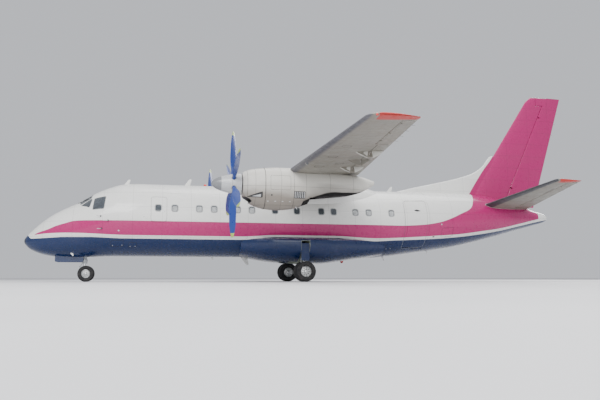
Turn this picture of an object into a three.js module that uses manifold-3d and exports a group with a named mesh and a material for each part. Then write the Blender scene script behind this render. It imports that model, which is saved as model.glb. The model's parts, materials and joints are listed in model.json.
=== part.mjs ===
// A twin-engined high-wing turboprop airliner parked on its landing gear, at full size in millimetres.
// +X points forward, +Y to port and +Z up. The origin is on the ground, under the middle of the length.
// A station is the distance aft of the nose tip, and a level is the height above the fuselage axis.
import * as THREE from "three";
import { mergeVertices } from "three/addons/utils/BufferGeometryUtils.js";
import Module from "manifold-3d";

const wasm = await Module();
wasm.setup();

// Driving dimensions
const LENGTH = 22605;
const SPAN = 24505;
const HEIGHT = 8232;
const AXIS = 2350; // fuselage axis above the ground
const SEAT = 0.3; // gap kept between pieces that touch
const SIDES = { body: 28, blister: 20, nacelle: 20, spinner: 16, wheel: 16, tube: 10, rod: 6, pin: 8, blade: 8 };
const PORT = 1;
const STARBOARD = -1;

// Fuselage: station, level of the section's centre, radius
const BODY = [
  [0, -860, 30],
  [60, -855, 150],
  [180, -845, 280],
  [380, -800, 440],
  [650, -725, 610],
  [1000, -630, 775],
  [1500, -515, 935],
  [2000, -400, 1060],
  [2450, -235, 1190],
  [3000, -95, 1300],
  [3500, -20, 1370],
  [4100, 0, 1390],
  [13300, 0, 1390],
  [14000, 30, 1360],
  [15000, 100, 1300],
  [16000, 170, 1235],
  [17000, 245, 1155],
  [18000, 345, 1035],
  [19000, 410, 855],
  [20000, 435, 605],
  [21000, 405, 312],
  [21500, 419, 183],
  [21640, 410, 95],
];
const BREAKS = { radome: 1000, forward: 6300, centre: 13600, rear: 17600, tail: 21640 };

// Blister under the belly that carries the main gear: station, half width, level of the bottom
const BELLY = [
  [7900, 1080, -1340],
  [8400, 1380, -1450],
  [9000, 1620, -1550],
  [9700, 1780, -1620],
  [10300, 1840, -1650],
  [11100, 1830, -1650],
  [11800, 1670, -1580],
  [12500, 1430, -1480],
  [13100, 1220, -1400],
  [13700, 1000, -1310],
];
const BELLY_SHOULDER = { level: -800, rise: 140, power: 2.8 };

// Hump that carries the wing over the cabin: station, half width, level of the top
const HUMP = [
  [7150, 760, 1310],
  [7700, 1040, 1520],
  [8400, 1180, 1690],
  [9100, 1240, 1790],
  [10000, 1250, 1840],
  [11000, 1230, 1800],
  [12000, 1170, 1700],
  [12800, 1030, 1570],
  [13600, 800, 1360],
];
const HUMP_SHOULDER = { level: 750, drop: 260, power: 2.6 };

// Wing: distance from the centreline, station of the leading edge, chord, level, thickness ratio
const WING = [
  [0, 9000, 3060, 1440, 0.142],
  [4130, 9080, 2560, 1440, 0.14],
  [11950, 9220, 1320, 1500, 0.12],
];
const WING_CAMBER = 0.02;
const WING_BREAK = 4700; // where the outer panel is bolted on
const TIP = { start: 11950, rake: 110, end: SPAN / 2, chord: 1140, ratio: 0.07 };

// Fin and tailplane, in the same columns, the fin's distance being its level
const FIN = [
  [700, 17600, 3400, 0, 0.11],
  [5660, 20854, 1682, 0, 0.1],
  [5882, 21120, 1485, 0, 0.09],
];
const DORSAL = [
  [14300, 1330],
  [15500, 1620],
  [16300, 1800],
  [17200, 2010],
  [18100, 2290],
  [18600, 2600],
  [19100, 3120],
];
const DORSAL_HALF = 55;
const DORSAL_ROOT = { level: 700, rear: 20400 }; // the ridge runs down into the fuselage and the fin
const TAILPLANE = [
  [300, 18120, 2400, 0, 0.11],
  [4550, 19180, 1120, 0, 0.1],
];
const TAILPLANE_ROOT = 710; // level of the tailplane's chord plane at the centreline
const DIHEDRAL = THREE.MathUtils.degToRad(9.2);

// Control surfaces: where they start and end along the span, and the hinge's share of the chord
const AILERON = { from: 9230, to: 11900, hinge: 0.76 };
const INNER_FLAP = { from: 1420, to: 3560, hinge: 0.8 };
const OUTER_FLAP = { from: 4730, to: 9190, hinge: 0.8 };
const ELEVATOR = { from: 850, to: 4330, hinge: 0.66 };
const RUDDER = { from: 850, to: 5480, hinge: 0.56, clear: 45 };
const RUDDER_HORN = { level: 5500, station: 21330 };
const END_GAP = 25;
const NOSE_GAP = 14;
const BEYOND = 24000; // a station past the tail
const FIN_CUT = { below: 600, above: 6200, half: 400 }; // how far the rudder's cuts reach
const HINGE = { pin: 10, play: 0.1, plate: 20, eye: 26, notch: 34, behind: 36 };
const HINGE_SPANS = { aileron: [9660, 10580, 11620], elevator: [1250, 3900], rudder: [1700, 4950] };
const BRACKET = { drop: 150, reach: 430, trail: 280, near: 2.5, far: 34 };

// Nacelle: station, half width, height above the engine axis, depth below it
const ENGINE = { y: 4130, level: 940, front: 7480, disc: 7180, spinnerTip: 6450 };
const NACELLE = [
  [7480, 385, 385, 400],
  [7600, 450, 450, 560],
  [7850, 510, 520, 720],
  [8250, 550, 570, 830],
  [8700, 560, 600, 860],
  [9200, 555, 600, 800],
  [9700, 530, 590, 640],
  [10400, 470, 540, 480],
  [11100, 380, 470, 350],
  [11700, 260, 380, 190],
  [12160, 90, 240, -90],
];
const NACELLE_POWER = 2.25;
const PROP = { blades: 6, hub: 215, hubHalf: 170, shank: 62, shaft: 95, socket: 70 };
const SPINNER = { radius: 365, back: 7440 };
// Blade: distance from the hub's centre, chord, thickness, pitch in degrees
const BLADE = [
  [150, 124, 124, 60],
  [430, 130, 120, 60],
  [650, 235, 66, 56],
  [950, 300, 44, 49],
  [1300, 300, 32, 42],
  [1600, 235, 22, 37],
  [1800, 95, 10, 34],
];
// Cut-out under the tail of the nacelle for the exhaust: station and level
const TROUGH = [
  [9660, -800],
  [9740, 500],
  [11200, 640],
  [12400, 900],
  [12400, -800],
];
const CHIN = { drop: 530, half: 300, up: 95, down: 110, power: 2.6, length: 620 };
const POWER_BLOCK = { from: 7800, to: 9080, half: 330, up: 330, down: 400 };
const JET_PIPE = { radius: 255, wall: 14, end: 9800, level: 640, room: 40, clear: 700 };

// Landing gear
const NOSE_GEAR = { station: 2160, tyre: 300, width: 180, apart: 330, trail: 60 };
const MAIN_GEAR = { station: 10260, tyre: 385, width: 250, apart: 440, y: 1590 };
const NOSE_WELL = { from: 1100, to: 2420, half: 250, top: -790 };
const MAIN_WELL = { half: 440, inner: 90, outer: 960, top: -900 };
const LEG_SLOT = { half: 170, outer: 1950, top: -800 };
const RIM = 0.52; // rim radius as a share of the tyre's
const AXLE = 0.09; // axle radius as a share of the tyre's
const STEER_TOP = -1610; // level where the steered part of the nose leg starts
const NOSE_LEG = { trunnion: -960, knee: -1330, shelf: -900, ahead: 560 };
const NOSE_DOOR = { hinge: -1360, drop: 260, rise: 60, thick: 18, rear: 300 };
const MAIN_LEG = { y: 1530, level: -960, braceY: 1120, braceLevel: -1010, linkAhead: 150 };
const MAIN_DOOR = { half: 158, inner: 1736, outer: 1756, low: -1560, high: -900 };

// Passenger door with its stairs, on the port side, and the lobby behind it
const DOOR = { from: 14480, to: 15440, top: 900, sill: -970, wall: 110, gap: 8, inset: 12, rise: 17, heel: 55 };
const LOBBY = { from: 14600, to: 15395, floor: -850, top: 830, inner: -420 };
const STAIR = { steps: 6, width: 640, depth: 220, tread: 24, open: 120, stringer: 30, stringerDepth: 136 };

// Placing

const at = (station, y, level) => new THREE.Vector3(LENGTH / 2 - station, y, AXIS + level);

// Value of each column at a station or span position, straight between the rows
function between(rows, position) {
  let i = 1;
  while (i < rows.length - 1 && rows[i][0] < position) i += 1;
  const share = (position - rows[i - 1][0]) / (rows[i][0] - rows[i - 1][0]);
  return rows[i].map((value, k) => rows[i - 1][k] + share * (value - rows[i - 1][k]));
}

// The table's own positions between two ends, and the ends
function positions(rows, from, to) {
  const inside = rows.map((row) => row[0]).filter((p) => p > from + 1 && p < to - 1);
  return [from, ...inside, to];
}

// Making solids

// A closed skin over rings of points, with a flat or pointed end at each end
function loft(rings) {
  const count = rings[0].length;
  const middle = (ring) => ring.reduce((sum, p) => sum.add(p), new THREE.Vector3()).divideScalar(count);
  const points = [...rings.flat(), middle(rings[0]), middle(rings[rings.length - 1])];
  const first = points.length - 2;
  const faces = [];
  for (let i = 0; i < count; i += 1) {
    const next = (i + 1) % count;
    faces.push(first, next, i);
    for (let r = 0; r < rings.length - 1; r += 1) {
      const [a, b] = [r * count, (r + 1) * count];
      faces.push(a + i, a + next, b + next, a + i, b + next, b + i);
    }
    const last = (rings.length - 1) * count;
    faces.push(last + i, last + next, first + 1);
  }
  const geometry = new THREE.BufferGeometry().setFromPoints(points);
  return solid(geometry.setIndex(faces));
}

// A geometry as a solid that can be cut and joined, turned so that its faces point outwards
function solid(geometry, matrix) {
  const plain = geometry.clone();
  if (matrix) plain.applyMatrix4(matrix);
  for (const name of ["normal", "uv"]) plain.deleteAttribute(name);
  const merged = mergeVertices(plain, 1e-3);
  const faces = new Uint32Array(merged.index.array);
  const build = () =>
    new wasm.Manifold(
      new wasm.Mesh({ numProp: 3, vertProperties: merged.attributes.position.array, triVerts: faces }),
    );
  if (signedVolume(merged.attributes.position.array, faces) < 0)
    for (let i = 0; i < faces.length; i += 3) [faces[i + 1], faces[i + 2]] = [faces[i + 2], faces[i + 1]];
  return build();
}

function signedVolume(position, faces) {
  const corner = (i) => new THREE.Vector3().fromArray(position, faces[i] * 3);
  let sum = 0;
  for (let i = 0; i < faces.length; i += 3) sum += corner(i).dot(corner(i + 1).cross(corner(i + 2)));
  return sum;
}

// The largest body of a solid, so that slivers left by a cut are dropped
function largest(piece) {
  return piece.decompose().reduce((best, body) => (body.volume() > best.volume() ? body : best));
}

function geometryOf(piece) {
  const mesh = piece.getMesh();
  const step = mesh.numProp;
  const position = new Float32Array(mesh.numVert * 3);
  for (let i = 0; i < mesh.numVert; i += 1)
    position.set(mesh.vertProperties.subarray(i * step, i * step + 3), i * 3);
  const geometry = new THREE.BufferGeometry();
  geometry.setAttribute("position", new THREE.BufferAttribute(position, 3));
  geometry.setIndex(new THREE.BufferAttribute(mesh.triVerts, 1));
  return geometry;
}

// A box between two corners that are given by station, y and level
function block(from, to) {
  const [a, b] = [at(...from), at(...to)];
  const size = b.clone().sub(a);
  const middle = a.clone().add(b).multiplyScalar(0.5);
  const box = new THREE.BoxGeometry(Math.abs(size.x), Math.abs(size.y), Math.abs(size.z));
  return solid(box, new THREE.Matrix4().setPosition(middle));
}

// A round bar, or a cone, between two points
function bar(start, end, radius, endRadius = radius, sides = SIDES.rod) {
  const along = end.clone().sub(start);
  const turn = new THREE.Quaternion().setFromUnitVectors(
    new THREE.Vector3(0, 1, 0),
    along.clone().normalize(),
  );
  const middle = start.clone().add(end).multiplyScalar(0.5);
  const shape = new THREE.CylinderGeometry(endRadius, radius, along.length(), sides);
  return solid(shape, new THREE.Matrix4().compose(middle, turn, new THREE.Vector3(1, 1, 1)));
}

// A flat outline given as station and level, or station and y, made into a prism
function prism(outline, low, high, upright) {
  const shape = new THREE.Shape(outline.map(([a, b]) => new THREE.Vector2(a, b)));
  const slab = new THREE.ExtrudeGeometry(shape, { depth: high - low, bevelEnabled: false });
  const place = new THREE.Matrix4();
  if (upright) place.set(-1, 0, 0, LENGTH / 2, 0, 0, 1, low, 0, 1, 0, AXIS, 0, 0, 0, 1);
  else place.set(-1, 0, 0, LENGTH / 2, 0, 1, 0, 0, 0, 0, 1, AXIS + low, 0, 0, 0, 1);
  return solid(slab, place);
}

// A ring profile of radius and distance along, turned about an axis through a point
function turned(profile, origin, axis, sides) {
  const points = profile.map(([radius, along]) => new THREE.Vector2(radius, along));
  const turn = new THREE.Quaternion().setFromUnitVectors(new THREE.Vector3(0, 1, 0), axis);
  const place = new THREE.Matrix4().compose(origin, turn, new THREE.Vector3(1, 1, 1));
  return solid(new THREE.LatheGeometry(points, sides), place);
}

const join = (...pieces) => pieces.reduce((sum, piece) => sum.add(piece));
const mirrored = (piece) => piece.mirror([0, 1, 0]);
const onSide = (piece, side) => (side === PORT ? piece : mirrored(piece));

// Fuselage

// A closed curve of one power above its centre and one half width, with its own height and depth
function curveRing(station, centre, half, up, down, power, sides) {
  const ring = [];
  for (let i = 0; i < sides; i += 1) {
    const angle = (2 * Math.PI * (i + 0.5)) / sides;
    const [c, s] = [Math.cos(angle), Math.sin(angle)];
    const y = Math.sign(c) * half * Math.abs(c) ** (2 / power);
    const level = Math.sign(s) * (s > 0 ? up : down) * Math.abs(s) ** (2 / power);
    ring.push(at(station, y, centre + level));
  }
  return ring;
}

function bodyRing(station, grow) {
  const [, centre, radius] = between(BODY, station);
  return curveRing(station, centre, radius + grow, radius + grow, radius + grow, 2, SIDES.body);
}

const bodyPart = (from, to, grow = 0) =>
  loft(positions(BODY, from, to).map((station) => bodyRing(station, grow)));
const bodyNode = (from, to) => bodyPart(from + SEAT / 2, to - SEAT / 2);

function wheelWells() {
  const { station } = MAIN_GEAR;
  const bay = block(
    [station - MAIN_WELL.half, MAIN_WELL.inner, -AXIS],
    [station + MAIN_WELL.half, MAIN_WELL.outer, MAIN_WELL.top],
  );
  const slot = block(
    [station - LEG_SLOT.half, MAIN_WELL.outer - 10, -AXIS],
    [station + LEG_SLOT.half, LEG_SLOT.outer, LEG_SLOT.top],
  );
  const port = bay.add(slot);
  return port.add(mirrored(port));
}

function forwardFuselage() {
  const well = block(
    [NOSE_WELL.from, -NOSE_WELL.half, -AXIS],
    [NOSE_WELL.to, NOSE_WELL.half, NOSE_WELL.top],
  );
  return bodyNode(BREAKS.radome, BREAKS.forward).subtract(well);
}

// The passenger door's hinge lies level along the sill, just under the skin. In the door's frame
// X runs forward along the hinge, Y points outwards and Z up, from the middle of the hinge.
function doorFrame() {
  const underSkin = (station) => {
    const [, centre, radius] = between(BODY, station);
    const y = Math.sqrt(radius ** 2 - (DOOR.sill - centre) ** 2) - DOOR.inset;
    return at(station, y, DOOR.sill + DOOR.rise);
  };
  const [front, rear] = [underSkin(DOOR.from), underSkin(DOOR.to)];
  const along = front.clone().sub(rear).normalize();
  const up = new THREE.Vector3(0, 0, 1);
  const out = up.clone().cross(along);
  const middle = front.clone().add(rear).multiplyScalar(0.5);
  const turn = new THREE.Matrix4().makeBasis(along, out, up).setPosition(middle);
  return { turn, half: front.distanceTo(rear) / 2, middle };
}

// A prism along the door's hinge, from an outline given outwards and up from it
function doorPrism(outline, half) {
  const shape = new THREE.Shape(outline.map(([out, up]) => new THREE.Vector2(out, up)));
  const slab = new THREE.ExtrudeGeometry(shape, { depth: 2 * half, bevelEnabled: false });
  const stand = new THREE.Matrix4();
  stand.set(0, 0, 1, -half, 1, 0, 0, 0, 0, 1, 0, 0, 0, 0, 0, 1);
  return solid(slab, doorFrame().turn.multiply(stand));
}

// The door's outline: square to the skin along the sill and level along the top
function doorWedge(grow) {
  const station = (DOOR.from + DOOR.to) / 2;
  const [, centre, radius] = between(BODY, station);
  const inward = new THREE.Vector2(0, centre - DOOR.sill).divideScalar(radius);
  inward.x = -Math.sqrt(1 - inward.y ** 2);
  const corner = new THREE.Vector2(DOOR.inset, -DOOR.rise);
  corner.add(new THREE.Vector2(-inward.y, inward.x).multiplyScalar(grow));
  const low = corner.clone().addScaledVector(inward, -300);
  const high = corner.clone().addScaledVector(inward, 900);
  const top = DOOR.top - DOOR.sill - DOOR.rise + grow;
  const far = 1200;
  const outline = [[low.x, low.y], [high.x, high.y], [high.x, top], [far, top], [far, low.y]];
  return doorPrism(outline, doorFrame().half + grow);
}

const hingeBar = (radius, beyond) => {
  const { turn, half } = doorFrame();
  const ends = [-1, 1].map((side) => new THREE.Vector3(side * (half + beyond), 0, 0).applyMatrix4(turn));
  return bar(...ends, radius, radius, SIDES.pin);
};

function rearFuselage() {
  const { from, to, wall, gap, heel } = DOOR;
  const frame = doorWedge(gap).subtract(bodyPart(from - 400, to + 400, -wall - gap));
  const hollow = (HINGE.pin + HINGE.play) / Math.cos(Math.PI / SIDES.pin);
  const room = join(hingeBar(heel, gap), hingeBar(hollow, 60));
  const lobby = block([LOBBY.from, LOBBY.inner, LOBBY.floor], [LOBBY.to, 1700, LOBBY.top]);
  return bodyNode(BREAKS.centre, BREAKS.rear).subtract(join(frame, room, lobby));
}

// The door is a curved slab with two stringers and treads that lie level when it is open
function passengerDoor() {
  const { from, to, wall } = DOOR;
  const shell = bodyPart(from - 400, to + 400).subtract(bodyPart(from - 600, to + 600, -wall));
  const slab = shell.intersect(doorWedge(0));
  const { turn, middle } = doorFrame();
  const [, centre, radius] = between(BODY, (from + to) / 2);
  const inside = radius - wall + 20;
  const onFace = (level) => {
    const y = Math.sqrt(inside ** 2 - (level - centre) ** 2);
    return new THREE.Vector2(y - middle.y, AXIS + level - middle.z);
  };
  const foot = onFace(LOBBY.floor + 90);
  const run = onFace(LOBBY.top - 100).sub(foot);
  const place = (size, [along, out, up], angle) =>
    solid(
      new THREE.BoxGeometry(...size),
      turn
        .clone()
        .multiply(new THREE.Matrix4().setPosition(along, out, up))
        .multiply(new THREE.Matrix4().makeRotationX(angle)),
    );
  const treads = [];
  for (let i = 0; i < STAIR.steps; i += 1) {
    const spot = foot.clone().addScaledVector(run, (i + 0.6) / (STAIR.steps + 0.2));
    const size = [STAIR.width, STAIR.depth, STAIR.tread];
    treads.push(place(size, [0, spot.x, spot.y], THREE.MathUtils.degToRad(STAIR.open)));
  }
  const mid = foot.clone().addScaledVector(run, 0.5);
  const lean = Math.atan2(run.y, run.x);
  const stringers = [-1, 1].map((side) => {
    const size = [STAIR.stringer, run.length(), STAIR.stringerDepth];
    return place(size, [(side * STAIR.width) / 2, mid.x, mid.y], lean);
  });
  return largest(join(slab, hingeBar(HINGE.pin, 40), ...treads, ...stringers));
}

// The fuselage that the blister and the hump are seated on
const cabinRoom = () => bodyPart(BREAKS.forward, DOOR.from, SEAT);

function bellyBlister() {
  const rings = BELLY.map(([station, half, bottom]) => {
    const { level, rise, power } = BELLY_SHOULDER;
    return curveRing(station, level, half, rise, level - bottom, power, SIDES.blister);
  });
  return largest(loft(rings).subtract(cabinRoom()).subtract(wheelWells()));
}

// Wings and tail

// Half thickness and camber line of the wing section at a share of the chord, for a chord of one
function sectionAt(share, ratio, camber) {
  const x = share;
  const half =
    5 * ratio * (0.2969 * Math.sqrt(x) - 0.126 * x - 0.3516 * x ** 2 + 0.2843 * x ** 3 - 0.1015 * x ** 4);
  const peak = 0.4;
  const line =
    x < peak
      ? (camber / peak ** 2) * (2 * peak * x - x ** 2)
      : (camber / (1 - peak) ** 2) * (1 - 2 * peak + 2 * peak * x - x ** 2);
  return { half, line };
}

// Placers turn a station, a span position and a height off the chord plane into a point
const flatWing = (level) => (station, span, height) => at(station, span, level + height);
const upright = (station, span, height) => at(station, height, span);

function wingRing(row, camber, place) {
  const [span, edge, chord, level, ratio] = row;
  const steps = 7;
  const ring = [];
  const point = (i, side) => {
    const share = (1 - Math.cos((Math.PI * i) / steps)) / 2;
    const { half, line } = sectionAt(share, ratio, camber);
    return place(edge + share * chord, span, level + (line + side * half) * chord);
  };
  for (let i = steps; i >= 0; i -= 1) ring.push(point(i, 1));
  for (let i = 1; i <= steps; i += 1) ring.push(point(i, -1));
  return ring;
}

const wingPart = (rows, from, to, camber, place) =>
  loft(positions(rows, from, to).map((span) => wingRing(between(rows, span), camber, place)));

// Where a surface's hinge lies at a span position: station, level and the radius of the surface's nose
function hingeAt(rows, span, share, camber) {
  const [, edge, chord, level, ratio] = between(rows, span);
  const { half, line } = sectionAt(share, ratio, camber);
  return { station: edge + share * chord, level: level + line * chord, radius: half * chord };
}

// A control surface's ring: a round nose about the hinge, then the wing section back to its trailing edge
function surfaceRing(rows, span, share, camber, place) {
  const [, edge, chord, level, ratio] = between(rows, span);
  const hinge = hingeAt(rows, span, share, camber);
  const ring = [];
  const steps = 2;
  const back = (i, side) => {
    const x = share + ((1 - share) * i) / steps;
    const { half, line } = sectionAt(x, ratio, camber);
    return place(edge + x * chord, span, level + (line + side * half) * chord);
  };
  for (let i = steps; i >= 0; i -= 1) ring.push(back(i, 1));
  for (let i = 1; i < 6; i += 1) {
    const angle = (Math.PI * i) / 6;
    const aft = -Math.sin(angle) * hinge.radius;
    ring.push(place(hinge.station + aft, span, hinge.level + Math.cos(angle) * hinge.radius));
  }
  for (let i = 0; i <= steps; i += 1) ring.push(back(i, -1));
  return ring;
}

const surface = (rows, part, camber, place) =>
  loft(
    positions(rows, part.from + END_GAP, part.to - END_GAP).map((span) =>
      surfaceRing(rows, span, part.hinge, camber, place),
    ),
  );

// The room that a surface takes out of the fixed wing behind its wall, as a plan outline
function bayOutline(rows, part, camber) {
  const wall = (span) => {
    const hinge = hingeAt(rows, span, part.hinge, camber);
    return hinge.station - hinge.radius - NOSE_GAP;
  };
  const spans = positions(rows, part.from, part.to);
  return [...spans.map((span) => [wall(span), span]), [BEYOND, part.to], [BEYOND, part.from]];
}

const wingBay = (part) => prism(bayOutline(WING, part, WING_CAMBER), 800, 2200, false);

// A frame on a hinge line: its X points aft, its Y up from the surface and its Z along the line
function hingeFrame(start, end, share) {
  const along = end.clone().sub(start).normalize();
  const aft = new THREE.Vector3(-1, 0, 0);
  aft.addScaledVector(along, -aft.dot(along)).normalize();
  const up = along.clone().cross(aft);
  return new THREE.Matrix4().makeBasis(aft, up, along).setPosition(start.clone().lerp(end, share));
}

// A prism along the hinge line, from an outline in the frame's X and Y
function hingePlate(frame, outline, low, high) {
  const shape = new THREE.Shape(outline.map(([x, y]) => new THREE.Vector2(x, y)));
  const slab = new THREE.ExtrudeGeometry(shape, { depth: high - low, bevelEnabled: false });
  return solid(slab, frame.clone().multiply(new THREE.Matrix4().setPosition(0, 0, low)));
}

function hingeRod(frame, radius, low, high) {
  const a = new THREE.Vector3(0, 0, low).applyMatrix4(frame);
  const b = new THREE.Vector3(0, 0, high).applyMatrix4(frame);
  return bar(a, b, radius, radius, SIDES.pin);
}

// A hole that the hinge pin turns in without its corners touching
const pinHole = (frame, low, high) =>
  hingeRod(frame, (HINGE.pin + HINGE.play) / Math.cos(Math.PI / SIDES.pin), low, high);

// The hinges of a surface that turns about its nose: the plates stand on the fixed part and
// reach into notches of the nose, where a pin of the surface runs through each
function noseHinges(rows, part, spans, camber, place) {
  const point = (span) => {
    const hinge = hingeAt(rows, span, part.hinge, camber);
    return place(hinge.station, span, hinge.level);
  };
  const [start, end] = [point(part.from), point(part.to)];
  const sets = spans.map((span) => {
    const frame = hingeFrame(start, end, (span - part.from) / (part.to - part.from));
    const reach = hingeAt(rows, span, part.hinge, camber).radius + NOSE_GAP + 40;
    const { plate, eye, notch, behind, pin } = HINGE;
    const arm = [[-reach, -18], [-reach, 18], [0, 18], [0, -18]];
    const room = [[-reach - 60, -400], [-reach - 60, 400], [behind, 400], [behind, -400]];
    return {
      plate: hingePlate(frame, arm, -plate, plate)
        .add(hingeRod(frame, eye, -plate, plate))
        .subtract(pinHole(frame, -plate - 5, plate + 5)),
      notch: hingePlate(frame, room, -notch, notch),
      pin: hingeRod(frame, pin, -notch - 20, notch + 20),
    };
  });
  return {
    plates: join(...sets.map((set) => set.plate)),
    notches: join(...sets.map((set) => set.notch)),
    pins: join(...sets.map((set) => set.pin)),
  };
}

// The hinge line of a flap hangs below the wing, just behind the wall
function flapFrame(part, spans, span) {
  const point = (position) => {
    const hinge = hingeAt(WING, position, part.hinge, WING_CAMBER);
    const level = hinge.level - hinge.radius - BRACKET.drop;
    return at(hinge.station - hinge.radius + 12, position, level);
  };
  const [first, last] = [spans[0], spans[spans.length - 1]];
  return hingeFrame(point(first), point(last), (span - first) / (last - first));
}

// A bracket under the wing with its pin, and the lug of the flap that turns on it
function wingBracket(part, spans, span) {
  const { drop, reach, near, far } = BRACKET;
  const frame = flapFrame(part, spans, span);
  const outline = [
    [22, 0],
    [12, -22],
    [-60, -30],
    [-150, -10],
    [-reach, drop - 20],
    [-reach + 40, drop + 60],
    [-NOSE_GAP - 16, drop + 60],
    [-NOSE_GAP - 16, 40],
    [12, 22],
  ];
  return hingePlate(frame, outline, near, far).add(hingeRod(frame, HINGE.pin, -far, far));
}

function flapLug(part, spans, span) {
  const { drop, trail, near, far } = BRACKET;
  const frame = flapFrame(part, spans, span);
  const outline = [
    [-22, 0],
    [0, -22],
    [60, -12],
    [trail, drop - 20],
    [trail, drop + 40],
    [40, drop + 40],
    [-12, 30],
  ];
  return hingePlate(frame, outline, -far, -near).subtract(pinHole(frame, -far - 5, 5));
}

const BRACKET_SPANS = { inner: [1900, 3250], outer: [5700, 6950, 8230] };

function wingCentre() {
  const place = flatWing(0);
  const half = wingPart(WING, 0, WING_BREAK - SEAT / 2, WING_CAMBER, place);
  const bare = half.subtract(wingBay(INNER_FLAP));
  const { inner } = BRACKET_SPANS;
  const brackets = inner.map((span) => wingBracket(INNER_FLAP, inner, span));
  const port = join(bare, ...brackets);
  const hump = loft(
    HUMP.map(([station, width, top]) => {
      const { level, drop, power } = HUMP_SHOULDER;
      return curveRing(station, level, width, top - level, drop, power, SIDES.blister);
    }),
  );
  return largest(join(port, mirrored(port), hump).subtract(cabinRoom()));
}

// The rounded tip: the last section shrinks and moves back to the full span
function wingTip() {
  const last = between(WING, TIP.start);
  const [, edge, chord, level] = last;
  const shares = [0, 0.55, 0.85, 1];
  const rings = shares.map((share) => {
    const inset = TIP.rake * share ** 2;
    const row = [
      TIP.start + (TIP.end - TIP.start) * share,
      edge + inset,
      chord - inset - (chord - TIP.rake - TIP.chord) * share ** 4,
      level,
      last[4] + (TIP.ratio - last[4]) * share,
    ];
    return wingRing(row, WING_CAMBER, flatWing(0));
  });
  return loft(rings);
}

const aileronHinges = () =>
  noseHinges(WING, AILERON, HINGE_SPANS.aileron, WING_CAMBER, flatWing(0));

function outerWing() {
  const panel = wingPart(WING, WING_BREAK + SEAT / 2, TIP.start, WING_CAMBER, flatWing(0));
  const bare = join(panel, wingTip()).subtract(join(wingBay(OUTER_FLAP), wingBay(AILERON)));
  const { outer } = BRACKET_SPANS;
  const brackets = outer.map((span) => wingBracket(OUTER_FLAP, outer, span));
  return largest(join(bare, ...brackets, aileronHinges().plates));
}

function flap(part, spans) {
  const lugs = spans.map((span) => flapLug(part, spans, span));
  return largest(join(surface(WING, part, WING_CAMBER, flatWing(0)), ...lugs));
}

// A surface with the notches and pins of its hinges
const hung = (piece, hinges) => largest(piece.subtract(hinges.notches).add(hinges.pins));

const aileron = () => hung(surface(WING, AILERON, WING_CAMBER, flatWing(0)), aileronHinges());

const rudderHinges = () => noseHinges(FIN, RUDDER, HINGE_SPANS.rudder, 0, upright);

// The fin with the long low dorsal fin in front of it
function fin() {
  const blade = wingPart(FIN, FIN[0][0], HEIGHT - AXIS, 0, upright);
  const { level: root, rear } = DORSAL_ROOT;
  const ridge = [...DORSAL, [rear, DORSAL[DORSAL.length - 1][1]], [rear, root], [DORSAL[0][0], root]];
  const spine = prism(ridge, -DORSAL_HALF, DORSAL_HALF, true);
  const wall = (level) => {
    const hinge = hingeAt(FIN, level, RUDDER.hinge, 0);
    return hinge.station - hinge.radius - NOSE_GAP;
  };
  const { level: horn, station: hornStart } = RUDDER_HORN;
  const { below, above, half } = FIN_CUT;
  const outline = [
    [wall(below), below],
    [wall(horn), horn],
    [hornStart - NOSE_GAP, horn],
    [hornStart - NOSE_GAP, above],
    [BEYOND, above],
    [BEYOND, below],
  ];
  const bay = prism(outline, -half, half, true);
  const whole = join(blade, spine).subtract(bay).add(rudderHinges().plates);
  return largest(whole.subtract(bodyPart(BREAKS.centre, BREAKS.tail, SEAT)));
}

// The rudder with a horn that balances it, reaching forward over the fin's top
function rudder() {
  const base = surface(FIN, { ...RUDDER, to: HEIGHT - AXIS + END_GAP }, 0, upright);
  const { level: horn, station: hornStart } = RUDDER_HORN;
  const { below, above, half } = FIN_CUT;
  const aft = [[hornStart, below], [hornStart, above], [BEYOND, above], [BEYOND, below]];
  const top = wingPart(FIN, horn + NOSE_GAP, HEIGHT - AXIS, 0, upright);
  const cap = top.intersect(prism(aft, -half, half, true));
  const room = bodyPart(BREAKS.centre, BREAKS.tail, RUDDER.clear);
  return hung(join(base, cap).subtract(room), rudderHinges());
}

// Points of the tailplane are raised by its dihedral as they go outboard
const slanted = (station, span, height) =>
  at(
    station,
    span * Math.cos(DIHEDRAL) - height * Math.sin(DIHEDRAL),
    TAILPLANE_ROOT + span * Math.sin(DIHEDRAL) + height * Math.cos(DIHEDRAL),
  );

const elevatorHinges = () =>
  noseHinges(TAILPLANE, ELEVATOR, HINGE_SPANS.elevator, 0, slanted);

const elevator = () => hung(surface(TAILPLANE, ELEVATOR, 0, slanted), elevatorHinges());

function tailplane() {
  const whole = wingPart(TAILPLANE, TAILPLANE[0][0], TAILPLANE[1][0], 0, slanted);
  const outline = bayOutline(TAILPLANE, ELEVATOR, 0);
  const low = outline.map(([station, span]) => slanted(station, span, -400));
  const high = outline.map(([station, span]) => slanted(station, span, 400));
  const bare = whole.subtract(loft([low, high])).add(elevatorHinges().plates);
  return largest(bare.subtract(bodyPart(BREAKS.rear, BREAKS.tail, SEAT)));
}

// Nacelles and propellers

function nacelleLoft(grow) {
  const { level } = ENGINE;
  return loft(
    NACELLE.map(([station, half, up, down]) => {
      const ring = curveRing(station, level, half + grow, up + grow, down + grow, NACELLE_POWER, SIDES.nacelle);
      for (const point of ring) point.y += ENGINE.y;
      return ring;
    }),
  );
}

// The engine is a plain block with its jet pipe, in a bay of the nacelle that it fills
function powerBlock(grow) {
  const { y, level } = ENGINE;
  const { from, to, half, up, down } = POWER_BLOCK;
  return block(
    [from - grow, y - half - grow, level - down - grow],
    [to + grow, y + half + grow, level + up + grow],
  );
}

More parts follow.
